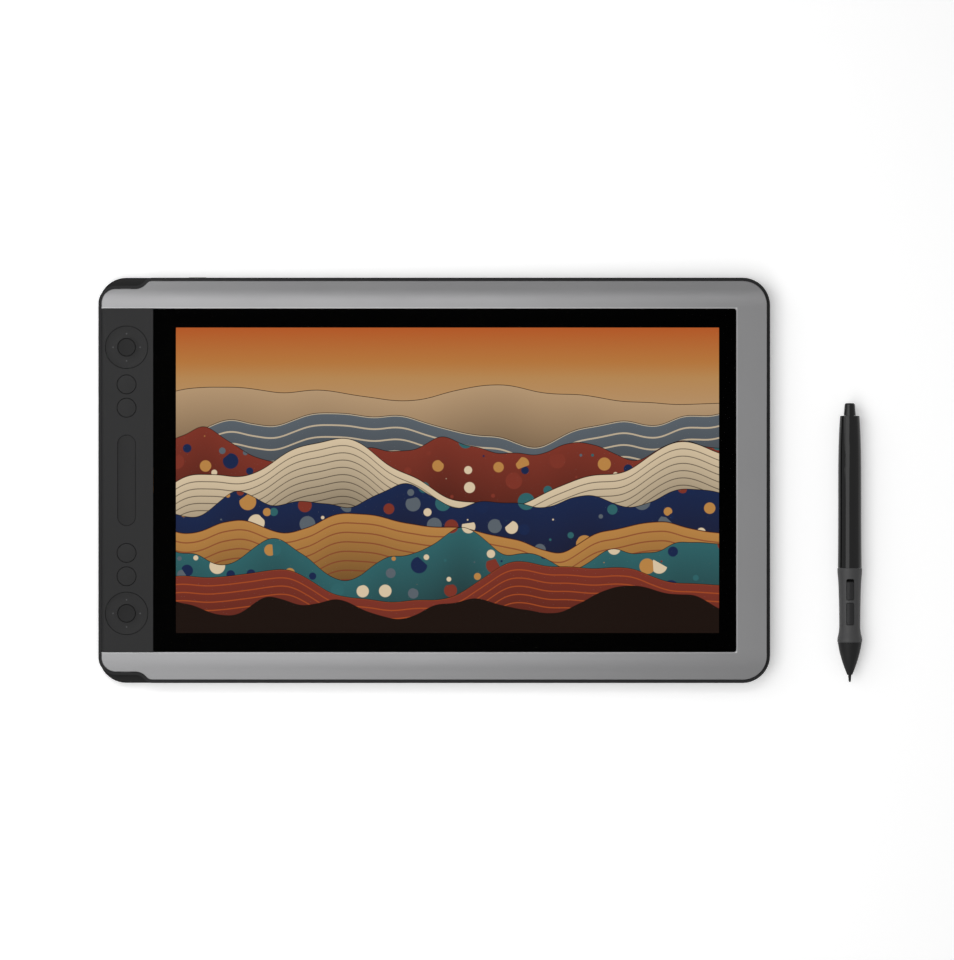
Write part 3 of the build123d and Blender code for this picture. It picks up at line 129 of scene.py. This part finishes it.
class TabletHousingLook(bpy.types.PropertyGroup):
    """Colours of the shells round the screen."""

    bezel: colour_property("Bezel", "Satin silver of the front bezel", (0.20, 0.20, 0.203))
    # Bezel edge and its width: a painted highlight along the bezel where it meets the glass.
    edge: colour_property("Bezel edge", "Bright edge beside the glass", (0.42, 0.42, 0.425))
    edge_width: length_property("Edge width", "Width of the bright edge", 0.0007)
    rim: colour_property("Rim", "Middle frame and power button", (0.012, 0.012, 0.0128))
    panel: colour_property("Key panel", "Dark grey of the key panel", (0.014, 0.014, 0.0144))
    shell: colour_property("Back", "Satin black of the back cover", (0.004, 0.004, 0.0042))
    feet: colour_property("Feet", "Rubber of the feet", (0.012, 0.012, 0.012))
    grain: length_property("Grain", "Size of the moulded grain", 0.00025)


class TabletScreenLook(bpy.types.PropertyGroup):
    """Colours of the generic picture on the screen."""

    sky: colour_property("Sky", "Burnt orange at the top, and of some rows", (0.44, 0.085, 0.018))
    amber: colour_property("Amber", "Amber of the sky, a hill and pebbles", (0.46, 0.22, 0.06))
    haze: colour_property("Haze", "Tan low in the sky and farthest hill", (0.45, 0.30, 0.17))
    cream: colour_property("Cream", "Palest colour of the picture", (0.66, 0.53, 0.36))
    brick: colour_property("Brick", "Brick red of hills, rows and pebbles", (0.20, 0.035, 0.022))
    teal: colour_property("Teal", "Teal of hills and pebbles", (0.03, 0.12, 0.13))
    navy: colour_property("Navy", "Navy of hills and pebbles", (0.012, 0.022, 0.07))
    slate: colour_property("Slate", "Slate of hills and pebbles", (0.10, 0.12, 0.14))
    ground: colour_property("Ground", "Brown-black of shade and outlines", (0.014, 0.008, 0.006))
    glow: share_property("Glow", "Brightness of the lit picture", 1.0)


class TabletKeysLook(bpy.types.PropertyGroup):
    """Colours of the keys, rings and touch bar."""

    ring: colour_property("Ring", "Rocking rings and round keys", (0.009, 0.009, 0.0093))
    # Dots: a painted highlight on the tops of the rings' raised dots, where light catches them.
    dots: colour_property("Dots", "Worn tops of the rings' raised dots", (0.075, 0.075, 0.077))
    dot_place: length_property("Dot place", "Distance of the dots from a ring's middle", 0.0086)
    dot_highlight_radius: length_property("Dot radius", "Radius of a dot's pale top", 0.00045)
    centre: colour_property("Centre key", "Keys inside the rings", (0.006, 0.006, 0.0062))
    bar: colour_property("Touch bar", "Touch bar", (0.007, 0.007, 0.0073))


class TabletPenLook(bpy.types.PropertyGroup):
    """Colours of the pen."""

    barrel: colour_property("Barrel", "Barrel and tail cap", (0.004, 0.004, 0.0042))
    grip: colour_property("Grip", "Soft grip", (0.045, 0.045, 0.046))
    cone: colour_property("Cone", "Matt cone at the tip", (0.013, 0.013, 0.0135))
    button: colour_property("Buttons", "Side switches", (0.022, 0.022, 0.023))


class TabletStageLook(bpy.types.PropertyGroup):
    """The plain studio."""

    floor: colour_property("Floor", "Pale floor", (0.95, 0.95, 0.95))
    lift: share_property("Lift", "Extra brightness of the floor as it is seen", 0.31)
    world: share_property("World", "Level of the soft light all round", 0.40)
    side_power: power_property("Side lamp", "Power of the lamp at the left", 1.1)
    top_power: power_property("Softbox", "Power of the softbox overhead", 4.4)
    bar_power: power_property("Bar lamp", "Power of the narrow lamp behind", 0.6)
    front_power: power_property("Front lamp", "Power of the lamp in front", 1.6)
    picture_height: length_property("View height", "Height that the camera sees", 0.6086)
    view_x: place_property("View X", "Where the camera looks, from left to right", -0.0022)
    view_y: place_property("View Y", "Where the camera looks, from front to back", 0.0002)


def opaque(colour):
    """A colour with full alpha."""
    return (*colour, 1.0)


def add(tree, kind, **inputs):
    """A shader node with some of its inputs set by name."""
    node = tree.nodes.new(kind)
    for key, value in inputs.items():
        node.inputs[key.replace("_", " ")].default_value = value
    return node


def maths(tree, operation, *values):
    """The result of a Math node on sockets or numbers."""
    node = tree.nodes.new("ShaderNodeMath")
    node.operation = operation
    for socket, value in zip(node.inputs, values):
        if isinstance(value, bpy.types.NodeSocket):
            tree.links.new(value, socket)
        else:
            socket.default_value = value
    return node.outputs[0]


def mix_colours(tree, share, below, above):
    """A colour that goes from one to the other as the share, a socket, goes from 0 to 1."""
    node = tree.nodes.new("ShaderNodeMix")
    node.data_type = "RGBA"
    tree.links.new(share, node.inputs[MIX_SHARE])
    for place, value in ((MIX_BELOW, below), (MIX_ABOVE, above)):
        if isinstance(value, bpy.types.NodeSocket):
            tree.links.new(value, node.inputs[place])
        else:
            node.inputs[place].default_value = opaque(value)
    return node.outputs[MIX_RESULT]


def step_over(tree, value, edge, softness):
    """0 under an edge and 1 over it, with a soft step."""
    node = add(tree, "ShaderNodeMapRange", From_Min=edge, From_Max=edge + softness)
    tree.links.new(value, node.inputs["Value"])
    return node.outputs[0]


def object_place(tree):
    """The Object coordinates of a point on the surface."""
    return tree.nodes.new("ShaderNodeTexCoord").outputs["Object"]


def x_and_y(tree, place):
    """The first two coordinates of a place."""
    split = tree.nodes.new("ShaderNodeSeparateXYZ")
    tree.links.new(place, split.inputs[0])
    return split.outputs[0], split.outputs[1]


def seen_directly(tree):
    """1 for rays from the camera, off a gloss or through glass, and 0 for the light on things."""
    ray = tree.nodes.new("ShaderNodeLightPath")
    seen = maths(tree, "MAXIMUM", ray.outputs["Is Camera Ray"], ray.outputs["Is Glossy Ray"])
    return maths(tree, "MAXIMUM", seen, ray.outputs["Is Transmission Ray"])


def new_group(name, inputs, outputs):
    """An empty shader node group with its sockets, as kind, name and default."""
    tree = bpy.data.node_groups.new(name, "ShaderNodeTree")
    for kind, label, default in inputs:
        socket = tree.interface.new_socket(label, in_out="INPUT", socket_type=kind)
        socket.default_value = default
    for kind, label in outputs:
        tree.interface.new_socket(label, in_out="OUTPUT", socket_type=kind)
    return tree, tree.nodes.new("NodeGroupInput"), tree.nodes.new("NodeGroupOutput")


def moulded_grain():
    """Group: fine noise that shifts a colour a little and gives a height for the bump."""
    name = "Moulded Grain"
    if name in bpy.data.node_groups:
        return bpy.data.node_groups[name]
    tree, given, result = new_group(
        name,
        [
            ("NodeSocketColor", "Color", (0.5, 0.5, 0.5, 1.0)),
            ("NodeSocketFloat", "Scale", GRAIN_SCALE),
            ("NodeSocketFloat", "Contrast", 0.1),
            ("NodeSocketFloat", "Roughness", 0.5),
        ],
        [
            ("NodeSocketColor", "Color"),
            ("NodeSocketFloat", "Roughness"),
            ("NodeSocketFloat", "Height"),
        ],
    )
    place = object_place(tree)
    fine = add(tree, "ShaderNodeTexNoise", Detail=2.0)
    broad = add(tree, "ShaderNodeTexNoise", Scale=SMUDGE_SCALE, Detail=3.0)
    links = tree.links
    links.new(place, fine.inputs["Vector"])
    links.new(place, broad.inputs["Vector"])
    links.new(given.outputs["Scale"], fine.inputs["Scale"])
    shift = maths(tree, "SUBTRACT", fine.outputs[0], 0.5)
    shift = maths(tree, "MULTIPLY", shift, given.outputs["Contrast"])
    scaled = tree.nodes.new("ShaderNodeVectorMath")
    scaled.operation = "SCALE"
    links.new(given.outputs["Color"], scaled.inputs[0])
    links.new(maths(tree, "ADD", shift, 1.0), scaled.inputs["Scale"])
    smudge = maths(tree, "SUBTRACT", broad.outputs[0], 0.5)
    smudge = maths(tree, "MULTIPLY", smudge, SMUDGE_DEPTH)
    roughness = maths(tree, "ADD", smudge, given.outputs["Roughness"])
    links.new(scaled.outputs[0], result.inputs["Color"])
    links.new(roughness, result.inputs["Roughness"])
    links.new(fine.outputs[0], result.inputs["Height"])
    return tree


def new_material(name, values):
    """A material and its Principled shader, some of whose own sockets are set by name."""
    material = bpy.data.materials.new(name)
    material.use_nodes = True
    shader = material.node_tree.nodes["Principled BSDF"]
    for socket, value in values.items():
        shader.inputs[socket].default_value = value
    return material, shader


def finish_material(
    name,
    colour,
    roughness,
    metallic=0.0,
    level=0.15,
    scale=GRAIN_SCALE,
    contrast=0.1,
    bump=0.05,
):
    """A Principled material whose colour, roughness and bump come from the grain group.

    The level is that of its mirror image, the scale how fine its grain is, the contrast how far
    the grain shifts the colour, and the bump how strongly the grain is raised.
    """
    material, shader = new_material(name, {"Metallic": metallic, "Specular IOR Level": level})
    tree = material.node_tree
    grain = tree.nodes.new("ShaderNodeGroup")
    grain.node_tree = moulded_grain()
    grain.inputs["Color"].default_value = opaque(colour)
    grain.inputs["Scale"].default_value = scale
    grain.inputs["Contrast"].default_value = contrast
    grain.inputs["Roughness"].default_value = roughness
    relief = add(tree, "ShaderNodeBump", Strength=bump, Distance=GRAIN_HEIGHT)
    tree.links.new(grain.outputs["Color"], shader.inputs["Base Color"])
    tree.links.new(grain.outputs["Roughness"], shader.inputs["Roughness"])
    tree.links.new(grain.outputs["Height"], relief.inputs["Height"])
    tree.links.new(relief.outputs["Normal"], shader.inputs["Normal"])
    return material


def repaint(material, mask, colour):
    """Lays a second colour over a material's own where the mask is 1."""
    tree = material.node_tree
    base = tree.nodes["Principled BSDF"].inputs["Base Color"]
    tree.links.new(mix_colours(tree, mask, base.links[0].from_socket, colour), base)


def paint_inner_edge_highlight(material, colour, width):
    """Painted highlight: a bright line where the bezel meets the glass, on all points within a
    width of its outline.
    """
    tree = material.node_tree
    _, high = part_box("cover_glass")
    x, y = x_and_y(tree, object_place(tree))
    beyond_x = maths(tree, "SUBTRACT", x, high.x)
    beyond_y = maths(tree, "SUBTRACT", maths(tree, "ABSOLUTE", y), high.y)
    beyond = maths(tree, "MAXIMUM", beyond_x, beyond_y)
    repaint(material, maths(tree, "LESS_THAN", beyond, width), colour)


def paint_dot_highlights(material, colour, place, radius):
    """Painted highlights: pale tops for the four raised dots of each ring.

    Both rings share the formula: the distance from the nearer ring's middle is folded into one
    quarter by absolute values, and its nearest dot lies on one of the quarter's two sides. The
    square of the distance to that dot is compared with the square of the radius.
    """
    tree = material.node_tree
    low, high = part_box("ring_pad_top")
    middle = (low + high) / 2
    x, y = x_and_y(tree, object_place(tree))
    across = maths(tree, "ABSOLUTE", maths(tree, "SUBTRACT", x, middle.x))
    up = maths(tree, "SUBTRACT", maths(tree, "ABSOLUTE", y), middle.y)
    up = maths(tree, "ABSOLUTE", up)
    along_side = maths(tree, "SUBTRACT", maths(tree, "MAXIMUM", across, up), place)
    off_side = maths(tree, "MINIMUM", across, up)
    distance = maths(
        tree,
        "ADD",
        maths(tree, "MULTIPLY", along_side, along_side),
        maths(tree, "MULTIPLY", off_side, off_side),
    )
    repaint(material, maths(tree, "LESS_THAN", distance, radius**2), colour)


def even_material(name, colour, roughness):
    """A Principled material without grain or gloss, such as printed ink."""
    values = {"Base Color": opaque(colour), "Roughness": roughness, "Specular IOR Level": 0.0}
    return new_material(name, values)[0]


def clear_material(name, colour, ior, roughness):
    """Clear glass or acrylic."""
    values = {
        "Base Color": opaque(colour),
        "Transmission Weight": 1.0,
        "IOR": ior,
        "Roughness": roughness,
    }
    return new_material(name, values)[0]


def sheet_glass():
    """Thin clear glass: the flatter one looks on its outer face, the more mirror-like it is.

    The inner face stays clear, because light that leaves a plate doesn't reflect wholly there.
    """
    values = {"Base Color": opaque((0.0, 0.0, 0.0)), "Roughness": GLASS_ROUGHNESS}
    material, shader = new_material("Cover Glass", values)
    tree = material.node_tree
    slant = add(tree, "ShaderNodeFresnel", IOR=GLASS_IOR)
    inner_face = tree.nodes.new("ShaderNodeNewGeometry").outputs["Backfacing"]
    outer_face = maths(tree, "SUBTRACT", 1.0, inner_face)
    mirror = maths(tree, "MULTIPLY", slant.outputs[0], outer_face)
    tree.links.new(mirror, shader.inputs["Alpha"])
    return material


def paint(material, *nodes):
    """Gives CAD nodes their material."""
    for name in nodes:
        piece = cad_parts[name]
        piece.data.materials.clear()
        piece.data.materials.append(material)


def hill_line(tree, x, level, swing, waves, seed):
    """The height of a hill's edge over x: a level plus noise in one dimension, times a swing."""
    noise = add(tree, "ShaderNodeTexNoise", Scale=1.0, Detail=1.5)
    noise.noise_dimensions = "1D"
    tree.links.new(maths(tree, "MULTIPLY_ADD", x, waves, seed), noise.inputs["W"])
    height = maths(tree, "MULTIPLY", maths(tree, "SUBTRACT", noise.outputs[0], 0.5), swing)
    return maths(tree, "ADD", height, level)


def ramp_of(tree, share, shades):
    """One of several colours in equal steps of the share."""
    node = tree.nodes.new("ShaderNodeValToRGB")
    ramp = node.color_ramp
    ramp.interpolation = "CONSTANT"
    for number in range(2, len(shades)):
        ramp.elements.new(number / len(shades))
    for number, shade in enumerate(shades):
        ramp.elements[number].position = number / len(shades)
        ramp.elements[number].color = opaque(shade)
    tree.links.new(share, node.inputs[0])
    return node.outputs[0]


def scattered_pebbles(tree, place):
    """Round pebbles, one to a cell: their mask, and a random share that each of them keeps.

    A pebble covers the points that lie nearer to its cell's middle than its own share of the
    largest radius.
    """
    cells = add(tree, "ShaderNodeTexVoronoi", Scale=PEBBLE_SCALE)
    cells.voronoi_dimensions = "2D"
    tree.links.new(place, cells.inputs["Vector"])
    split = tree.nodes.new("ShaderNodeSeparateColor")
    tree.links.new(cells.outputs["Color"], split.inputs[0])
    radius = maths(tree, "MULTIPLY", split.outputs[1], PEBBLE_RADIUS)
    inside = maths(tree, "SUBTRACT", radius, cells.outputs["Distance"])
    return step_over(tree, inside, 0.0, PEBBLE_SOFTNESS), split.outputs[0]


def row_lines(tree, depth, spacing):
    """Thin lines that run along a hill's edge, one every spacing below it."""
    turn = maths(tree, "FRACT", maths(tree, "DIVIDE", depth, spacing))
    return maths(tree, "LESS_THAN", turn, ROW_WIDTH)


def hill_colours(tree, look, depth, colour, rows, pebbles):
    """The colours of one hill by the depth below its edge: darker downwards, with an outline."""
    shade = maths(tree, "MULTIPLY", step_over(tree, depth, 0.0, HILL_SHADE_DEPTH), HILL_SHADE)
    hill = mix_colours(tree, shade, getattr(look, colour), look.ground)
    if rows:
        row_colour, spacing = rows
        lines = maths(tree, "MULTIPLY", row_lines(tree, depth, spacing), ROW_STRENGTH)
        hill = mix_colours(tree, lines, hill, getattr(look, row_colour))
    if pebbles:
        mask, pebble_colours = pebbles
        hill = mix_colours(tree, mask, hill, pebble_colours)
    outline = maths(tree, "LESS_THAN", depth, HILL_OUTLINE)
    return mix_colours(tree, outline, hill, look.ground)


def screen_picture(look):
    """Emissive picture: layered farm hills, with field rows or pebbles, under an evening sky."""
    values = {
        "Base Color": opaque((0.0, 0.0, 0.0)),
        "Specular IOR Level": 0.0,
        "Emission Strength": look.glow,
    }
    material, shader = new_material("Lit Picture", values)
    tree = material.node_tree
    place = object_place(tree)
    x, y = x_and_y(tree, place)
    middle = (SCREEN_LOW + SCREEN_HIGH) / 2
    x = maths(tree, "SUBTRACT", x, middle.x)
    y = maths(tree, "SUBTRACT", y, middle.y)
    picture = mix_colours(tree, step_over(tree, y, *AMBER_SKY), look.haze, look.amber)
    picture = mix_colours(tree, step_over(tree, y, *ORANGE_SKY), picture, look.sky)
    mask, share = scattered_pebbles(tree, place)
    pebble_colours = ramp_of(tree, share, [getattr(look, name) for name in PEBBLE_COLOURS])
    for level, swing, waves, seed, colour, rows, has_pebbles in HILLS:
        height = hill_line(tree, x, level, swing, waves, seed)
        depth = maths(tree, "SUBTRACT", height, y)
        pebbles = (mask, pebble_colours) if has_pebbles else None
        hill = hill_colours(tree, look, depth, colour, rows, pebbles)
        below_edge = step_over(tree, depth, 0.0, HILL_EDGE_SOFTNESS)
        picture = mix_colours(tree, below_edge, picture, hill)
    tree.links.new(picture, shader.inputs["Emission Color"])
    return material


class TABLET_OT_housing(bpy.types.Operator):
    """Finish the back cover, middle frame, bezel, key panel, feet, screws, threads and sockets"""

    bl_idname = "tablet.housing"
    bl_label = "Housing"

    def execute(self, context):
        look = context.scene.tablet_housing
        scale = 1 / look.grain
        silver = finish_material(
            "Satin Silver",
            look.bezel,
            roughness=0.30,
            metallic=0.52,
            level=0.4,
            scale=scale,
            contrast=0.04,
            bump=0.02,
        )
        # Painted highlight: a bright line on the bezel beside the glass.
        paint_inner_edge_highlight(silver, look.edge, look.edge_width)
        paint(silver, "front_bezel")
        rim = finish_material(
            "Rim Plastic", look.rim, roughness=0.5, scale=scale, contrast=0.12, bump=0.06
        )
        paint(rim, "mid_frame", "power_button")
        panel = finish_material(
            "Panel Plastic", look.panel, roughness=0.5, scale=scale, contrast=0.12, bump=0.06
        )
        paint(panel, "key_panel")
        black = finish_material(
            "Satin Black",
            look.shell,
            roughness=0.42,
            level=0.12,
            scale=scale,
            contrast=0.05,
            bump=0.03,
        )
        paint(black, "back_cover")
        rubber = finish_material(
            "Foot Rubber",
            look.feet,
            roughness=0.8,
            level=0.3,
            scale=scale,
            contrast=0.2,
            bump=0.2,
        )
        paint(rubber, "rubber_feet")
        brass = finish_material("Thread Brass", (0.52, 0.32, 0.10), roughness=0.3, metallic=1.0)
        paint(brass, "vesa_inserts")
        dark_steel = finish_material(
            "Blackened Steel", (0.05, 0.05, 0.052), roughness=0.35, metallic=1.0
        )
        paint(dark_steel, "back_screws", "panel_screws", "tray_screws", "board_screws")
        socket_steel = finish_material(
            "Socket Steel", (0.10, 0.10, 0.103), roughness=0.4, metallic=1.0
        )
        paint(socket_steel, "usb_sockets")
        return {"FINISHED"}


class TABLET_OT_display(bpy.types.Operator):
    """Finish the cover glass, its printed border, the lit screen and the layers behind it"""

    bl_idname = "tablet.display"
    bl_label = "Display"

    def execute(self, context):
        look = context.scene.tablet_screen
        paint(sheet_glass(), "cover_glass")
        ink = even_material("Border Ink", (0.0006, 0.0006, 0.0006), roughness=0.6)
        paint(ink, "border_mask")
        paint(screen_picture(look), "lcd_cell")
        foam = finish_material(
            "Seal Foam",
            (0.01, 0.01, 0.01),
            roughness=0.9,
            level=0.2,
            scale=2500.0,
            contrast=0.4,
            bump=0.4,
        )
        paint(foam, "glass_seal")
        steel = finish_material("Tray Steel", (0.38, 0.38, 0.39), roughness=0.36, metallic=1.0)
        paint(steel, "panel_tray", "shield_plate")
        white = finish_material("White Plastic", (0.68, 0.68, 0.67), roughness=0.5)
        paint(white, "panel_frame")
        film = finish_material("Diffuser Film", (0.78, 0.78, 0.78), roughness=0.7)
        paint(film, "diffuser_sheets")
        strip = finish_material("Lamp Strip", (0.75, 0.68, 0.35), roughness=0.5)
        paint(strip, "led_strip")
        acrylic = clear_material("Guide Acrylic", (0.92, 0.96, 0.98), ior=1.49, roughness=0.05)
        paint(acrylic, "light_guide")
        return {"FINISHED"}


class TABLET_OT_keys(bpy.types.Operator):
    """Finish the rings, the keys, the touch bar and what holds them"""

    bl_idname = "tablet.keys"
    bl_label = "Keys"

    def execute(self, context):
        look = context.scene.tablet_keys
        scale = 1 / context.scene.tablet_housing.grain
        ring = finish_material(
            "Ring Plastic", look.ring, roughness=0.42, scale=scale, contrast=0.12
        )
        # Painted highlights on the tops of the rings' raised dots.
        paint_dot_highlights(ring, look.dots, look.dot_place, look.dot_highlight_radius)
        paint(ring, "ring_pad_top", "ring_pad_bottom")
        centre = finish_material(
            "Centre Key Plastic", look.centre, roughness=0.5, scale=scale, contrast=0.12
        )
        paint(centre, "centre_key_top", "centre_key_bottom")
        rounds = finish_material(
            "Round Key Plastic", look.ring, roughness=0.42, scale=scale, contrast=0.12
        )
        paint(rounds, "round_key_1", "round_key_2", "round_key_3", "round_key_4")
        bar = finish_material(
            "Touch Bar Plastic", look.bar, roughness=0.42, scale=scale, contrast=0.08, bump=0.03
        )
        paint(bar, "touch_bar")
        inner = finish_material("Inner Plastic", (0.012, 0.012, 0.013), roughness=0.55)
        paint(inner, "key_carrier", "ring_pivot_top", "ring_pivot_bottom", "key_switches")
        return {"FINISHED"}


class TABLET_OT_inside(bpy.types.Operator):
    """Finish the boards, chips, connectors and flat cables inside"""

    bl_idname = "tablet.inside"
    bl_label = "Inside"

    def execute(self, context):
        board = finish_material(
            "Solder Mask", (0.012, 0.075, 0.028), roughness=0.35, scale=900.0, contrast=0.3
        )
        paint(board, "main_board", "key_board", "touch_bar_board")
        paint(board, "port_boards", "power_board", "digitizer_board")
        chip = finish_material("Chip Black", (0.012, 0.012, 0.012), roughness=0.5)
        paint(chip, "board_chips")
        connector = finish_material("Connector Cream", (0.62, 0.56, 0.42), roughness=0.5)
        paint(connector, "board_connectors")
        film = finish_material("Cable Film", (0.42, 0.17, 0.02), roughness=0.3)
        paint(film, "key_cable", "screen_cable", "port_cables")
        return {"FINISHED"}


class TABLET_OT_pen(bpy.types.Operator):
    """Finish the pen: glossy barrel, soft grip, matt cone, switches and inside"""

    bl_idname = "tablet.pen"
    bl_label = "Pen"

    def execute(self, context):
        look = context.scene.tablet_pen
        gloss = finish_material(
            "Pen Gloss",
            look.barrel,
            roughness=0.09,
            level=0.26,
            scale=PEN_GRAIN_SCALE,
            contrast=0.03,
            bump=0.0,
        )
        paint(gloss, "pen_barrel", "pen_tail_cap")
        grip = finish_material(
            "Pen Grip", look.grip, roughness=0.55, level=0.4, scale=PEN_GRAIN_SCALE, bump=0.1
        )
        paint(grip, "pen_grip")
        cone = finish_material("Pen Cone", look.cone, roughness=0.5, scale=PEN_GRAIN_SCALE)
        paint(cone, "pen_cone")
        button = finish_material("Pen Button", look.button, roughness=0.3)
        paint(button, "pen_switch_lower", "pen_switch_upper")
        nib = finish_material("Nib Plastic", (0.01, 0.01, 0.01), roughness=0.5)
        paint(nib, "pen_nib", "pen_nib_holder", "pen_sensor", "pen_core", "pen_switch_domes")
        board = finish_material("Pen Board", (0.006, 0.007, 0.006), roughness=0.5)
        paint(board, "pen_board")
        ferrite = finish_material("Ferrite", (0.02, 0.02, 0.022), roughness=0.4, metallic=0.5)
        paint(ferrite, "pen_ferrite")
        copper = finish_material(
            "Copper Winding",
            (0.5, 0.16, 0.07),
            roughness=0.3,
            metallic=1.0,
            scale=5000.0,
            contrast=0.3,
            bump=0.3,
        )
        paint(copper, "pen_coil")
        return {"FINISHED"}


def floor_material(look):
    """Pale floor, lifted to white where it is seen directly, that keeps the shadow."""
    values = {
        "Base Color": opaque(look.floor),
        "Roughness": 0.9,
        "Specular IOR Level": 0.1,
        "Emission Color": opaque((1.0, 1.0, 1.0)),
    }
    material, shader = new_material("Pale Floor", values)
    tree = material.node_tree
    lift = maths(tree, "MULTIPLY", seen_directly(tree), look.lift)
    tree.links.new(lift, shader.inputs["Emission Strength"])
    return material


def floor_mesh(reach, height):
    """A flat square: x and y run over a grid of two points each, at one height."""
    ends = np.linspace(-reach, reach, 2)
    grid_x, grid_y = np.meshgrid(ends, ends)
    points = np.stack([grid_x.ravel(), grid_y.ravel(), np.full(grid_x.size, height)], axis=1)
    mesh = bpy.data.meshes.new("Floor")
    mesh.from_pydata(points.tolist(), [], [(0, 1, 3, 2)])
    return mesh


def studio_world(look):
    """Even grey light all round, which is white where it is seen directly."""
    world = bpy.data.worlds.new("Studio")
    world.use_nodes = True
    tree = world.node_tree
    tree.nodes.clear()
    background = tree.nodes.new("ShaderNodeBackground")
    extra = maths(tree, "MULTIPLY", seen_directly(tree), 1.0 - look.world)
    tree.links.new(maths(tree, "ADD", extra, look.world), background.inputs["Strength"])
    output = tree.nodes.new("ShaderNodeOutputWorld")
    tree.links.new(background.outputs[0], output.inputs[0])
    return world


def soft_lamp(name, place, size, power):
    """A rectangular lamp that faces the middle of the floor and that the camera doesn't see."""
    data = bpy.data.lights.new(name, "AREA")
    data.shape = "RECTANGLE"
    data.size, data.size_y = size
    data.energy = power
    lamp = bpy.data.objects.new(name, data)
    lamp.location = place
    lamp.rotation_euler = (-lamp.location).to_track_quat("-Z", "Y").to_euler()
    lamp.visible_camera = False
    bpy.context.scene.collection.objects.link(lamp)
    return lamp


def camera_above(look):
    """A camera straight above, as high as the height that it should see asks for."""
    data = bpy.data.cameras.new("Camera")
    data.lens = LENS
    data.clip_end = SIGHT
    camera = bpy.data.objects.new("Camera", data)
    distance = look.picture_height * data.lens / data.sensor_width
    camera.location = (look.view_x, look.view_y, TABLET_TOP + distance)
    return camera


class TABLET_OT_stage(bpy.types.Operator):
    """Set up the pale floor, the soft light and the camera straight above"""

    bl_idname = "tablet.stage"
    bl_label = "Stage"

    def execute(self, context):
        scene = context.scene
        look = scene.tablet_stage
        floor = bpy.data.objects.new("Floor", floor_mesh(FLOOR_REACH, FLOOR_HEIGHT))
        floor.data.materials.append(floor_material(look))
        scene.collection.objects.link(floor)
        scene.world = studio_world(look)
        side = soft_lamp(
            "Side Lamp", place=(-0.5, 0.3, 0.55), size=(0.5, 0.5), power=look.side_power
        )
        softbox = soft_lamp(
            "Softbox", place=(-0.26, 0.0, 1.05), size=(0.9, 0.74), power=look.top_power
        )
        bar = soft_lamp(
            "Bar Lamp", place=(-0.05, 0.36, 1.05), size=(1.1, 0.08), power=look.bar_power
        )
        front = soft_lamp(
            "Front Lamp", place=(-0.3, -0.62, 0.9), size=(0.9, 0.3), power=look.front_power
        )
        camera = camera_above(look)
        scene.collection.objects.link(camera)
        scene.camera = camera
        scene.view_settings.view_transform = "Standard"
        return {"FINISHED"}


class TABLET_PT_panel(bpy.types.Panel):
    """Sidebar panel with the tablet's pieces"""

    bl_idname = "TABLET_PT_panel"
    bl_label = "Graphics Tablet"
    bl_space_type = "VIEW_3D"
    bl_region_type = "UI"
    bl_category = "Tablet"

    def draw(self, context):
        for operator in OPERATORS:
            self.layout.operator(operator.bl_idname)


LOOKS = {
    "tablet_housing": TabletHousingLook,
    "tablet_screen": TabletScreenLook,
    "tablet_keys": TabletKeysLook,
    "tablet_pen": TabletPenLook,
    "tablet_stage": TabletStageLook,
}
OPERATORS = (
    TABLET_OT_housing,
    TABLET_OT_display,
    TABLET_OT_keys,
    TABLET_OT_inside,
    TABLET_OT_pen,
    TABLET_OT_stage,
)
CLASSES = (*LOOKS.values(), *OPERATORS, TABLET_PT_panel)


def register():
    """Registers the classes and puts the looks on the scene."""
    for cls in CLASSES:
        bpy.utils.register_class(cls)
    for name, cls in LOOKS.items():
        setattr(bpy.types.Scene, name, PointerProperty(type=cls))


def unregister():
    """Takes the looks and classes away again."""
    for name in LOOKS:
        delattr(bpy.types.Scene, name)
    for cls in reversed(CLASSES):
        bpy.utils.unregister_class(cls)


def main():
    """Runs every operator in order."""
    register()
    for operator in OPERATORS:
        space, name = operator.bl_idname.split(".")
        getattr(getattr(bpy.ops, space), name)()


if __name__ == "__main__":
    main()
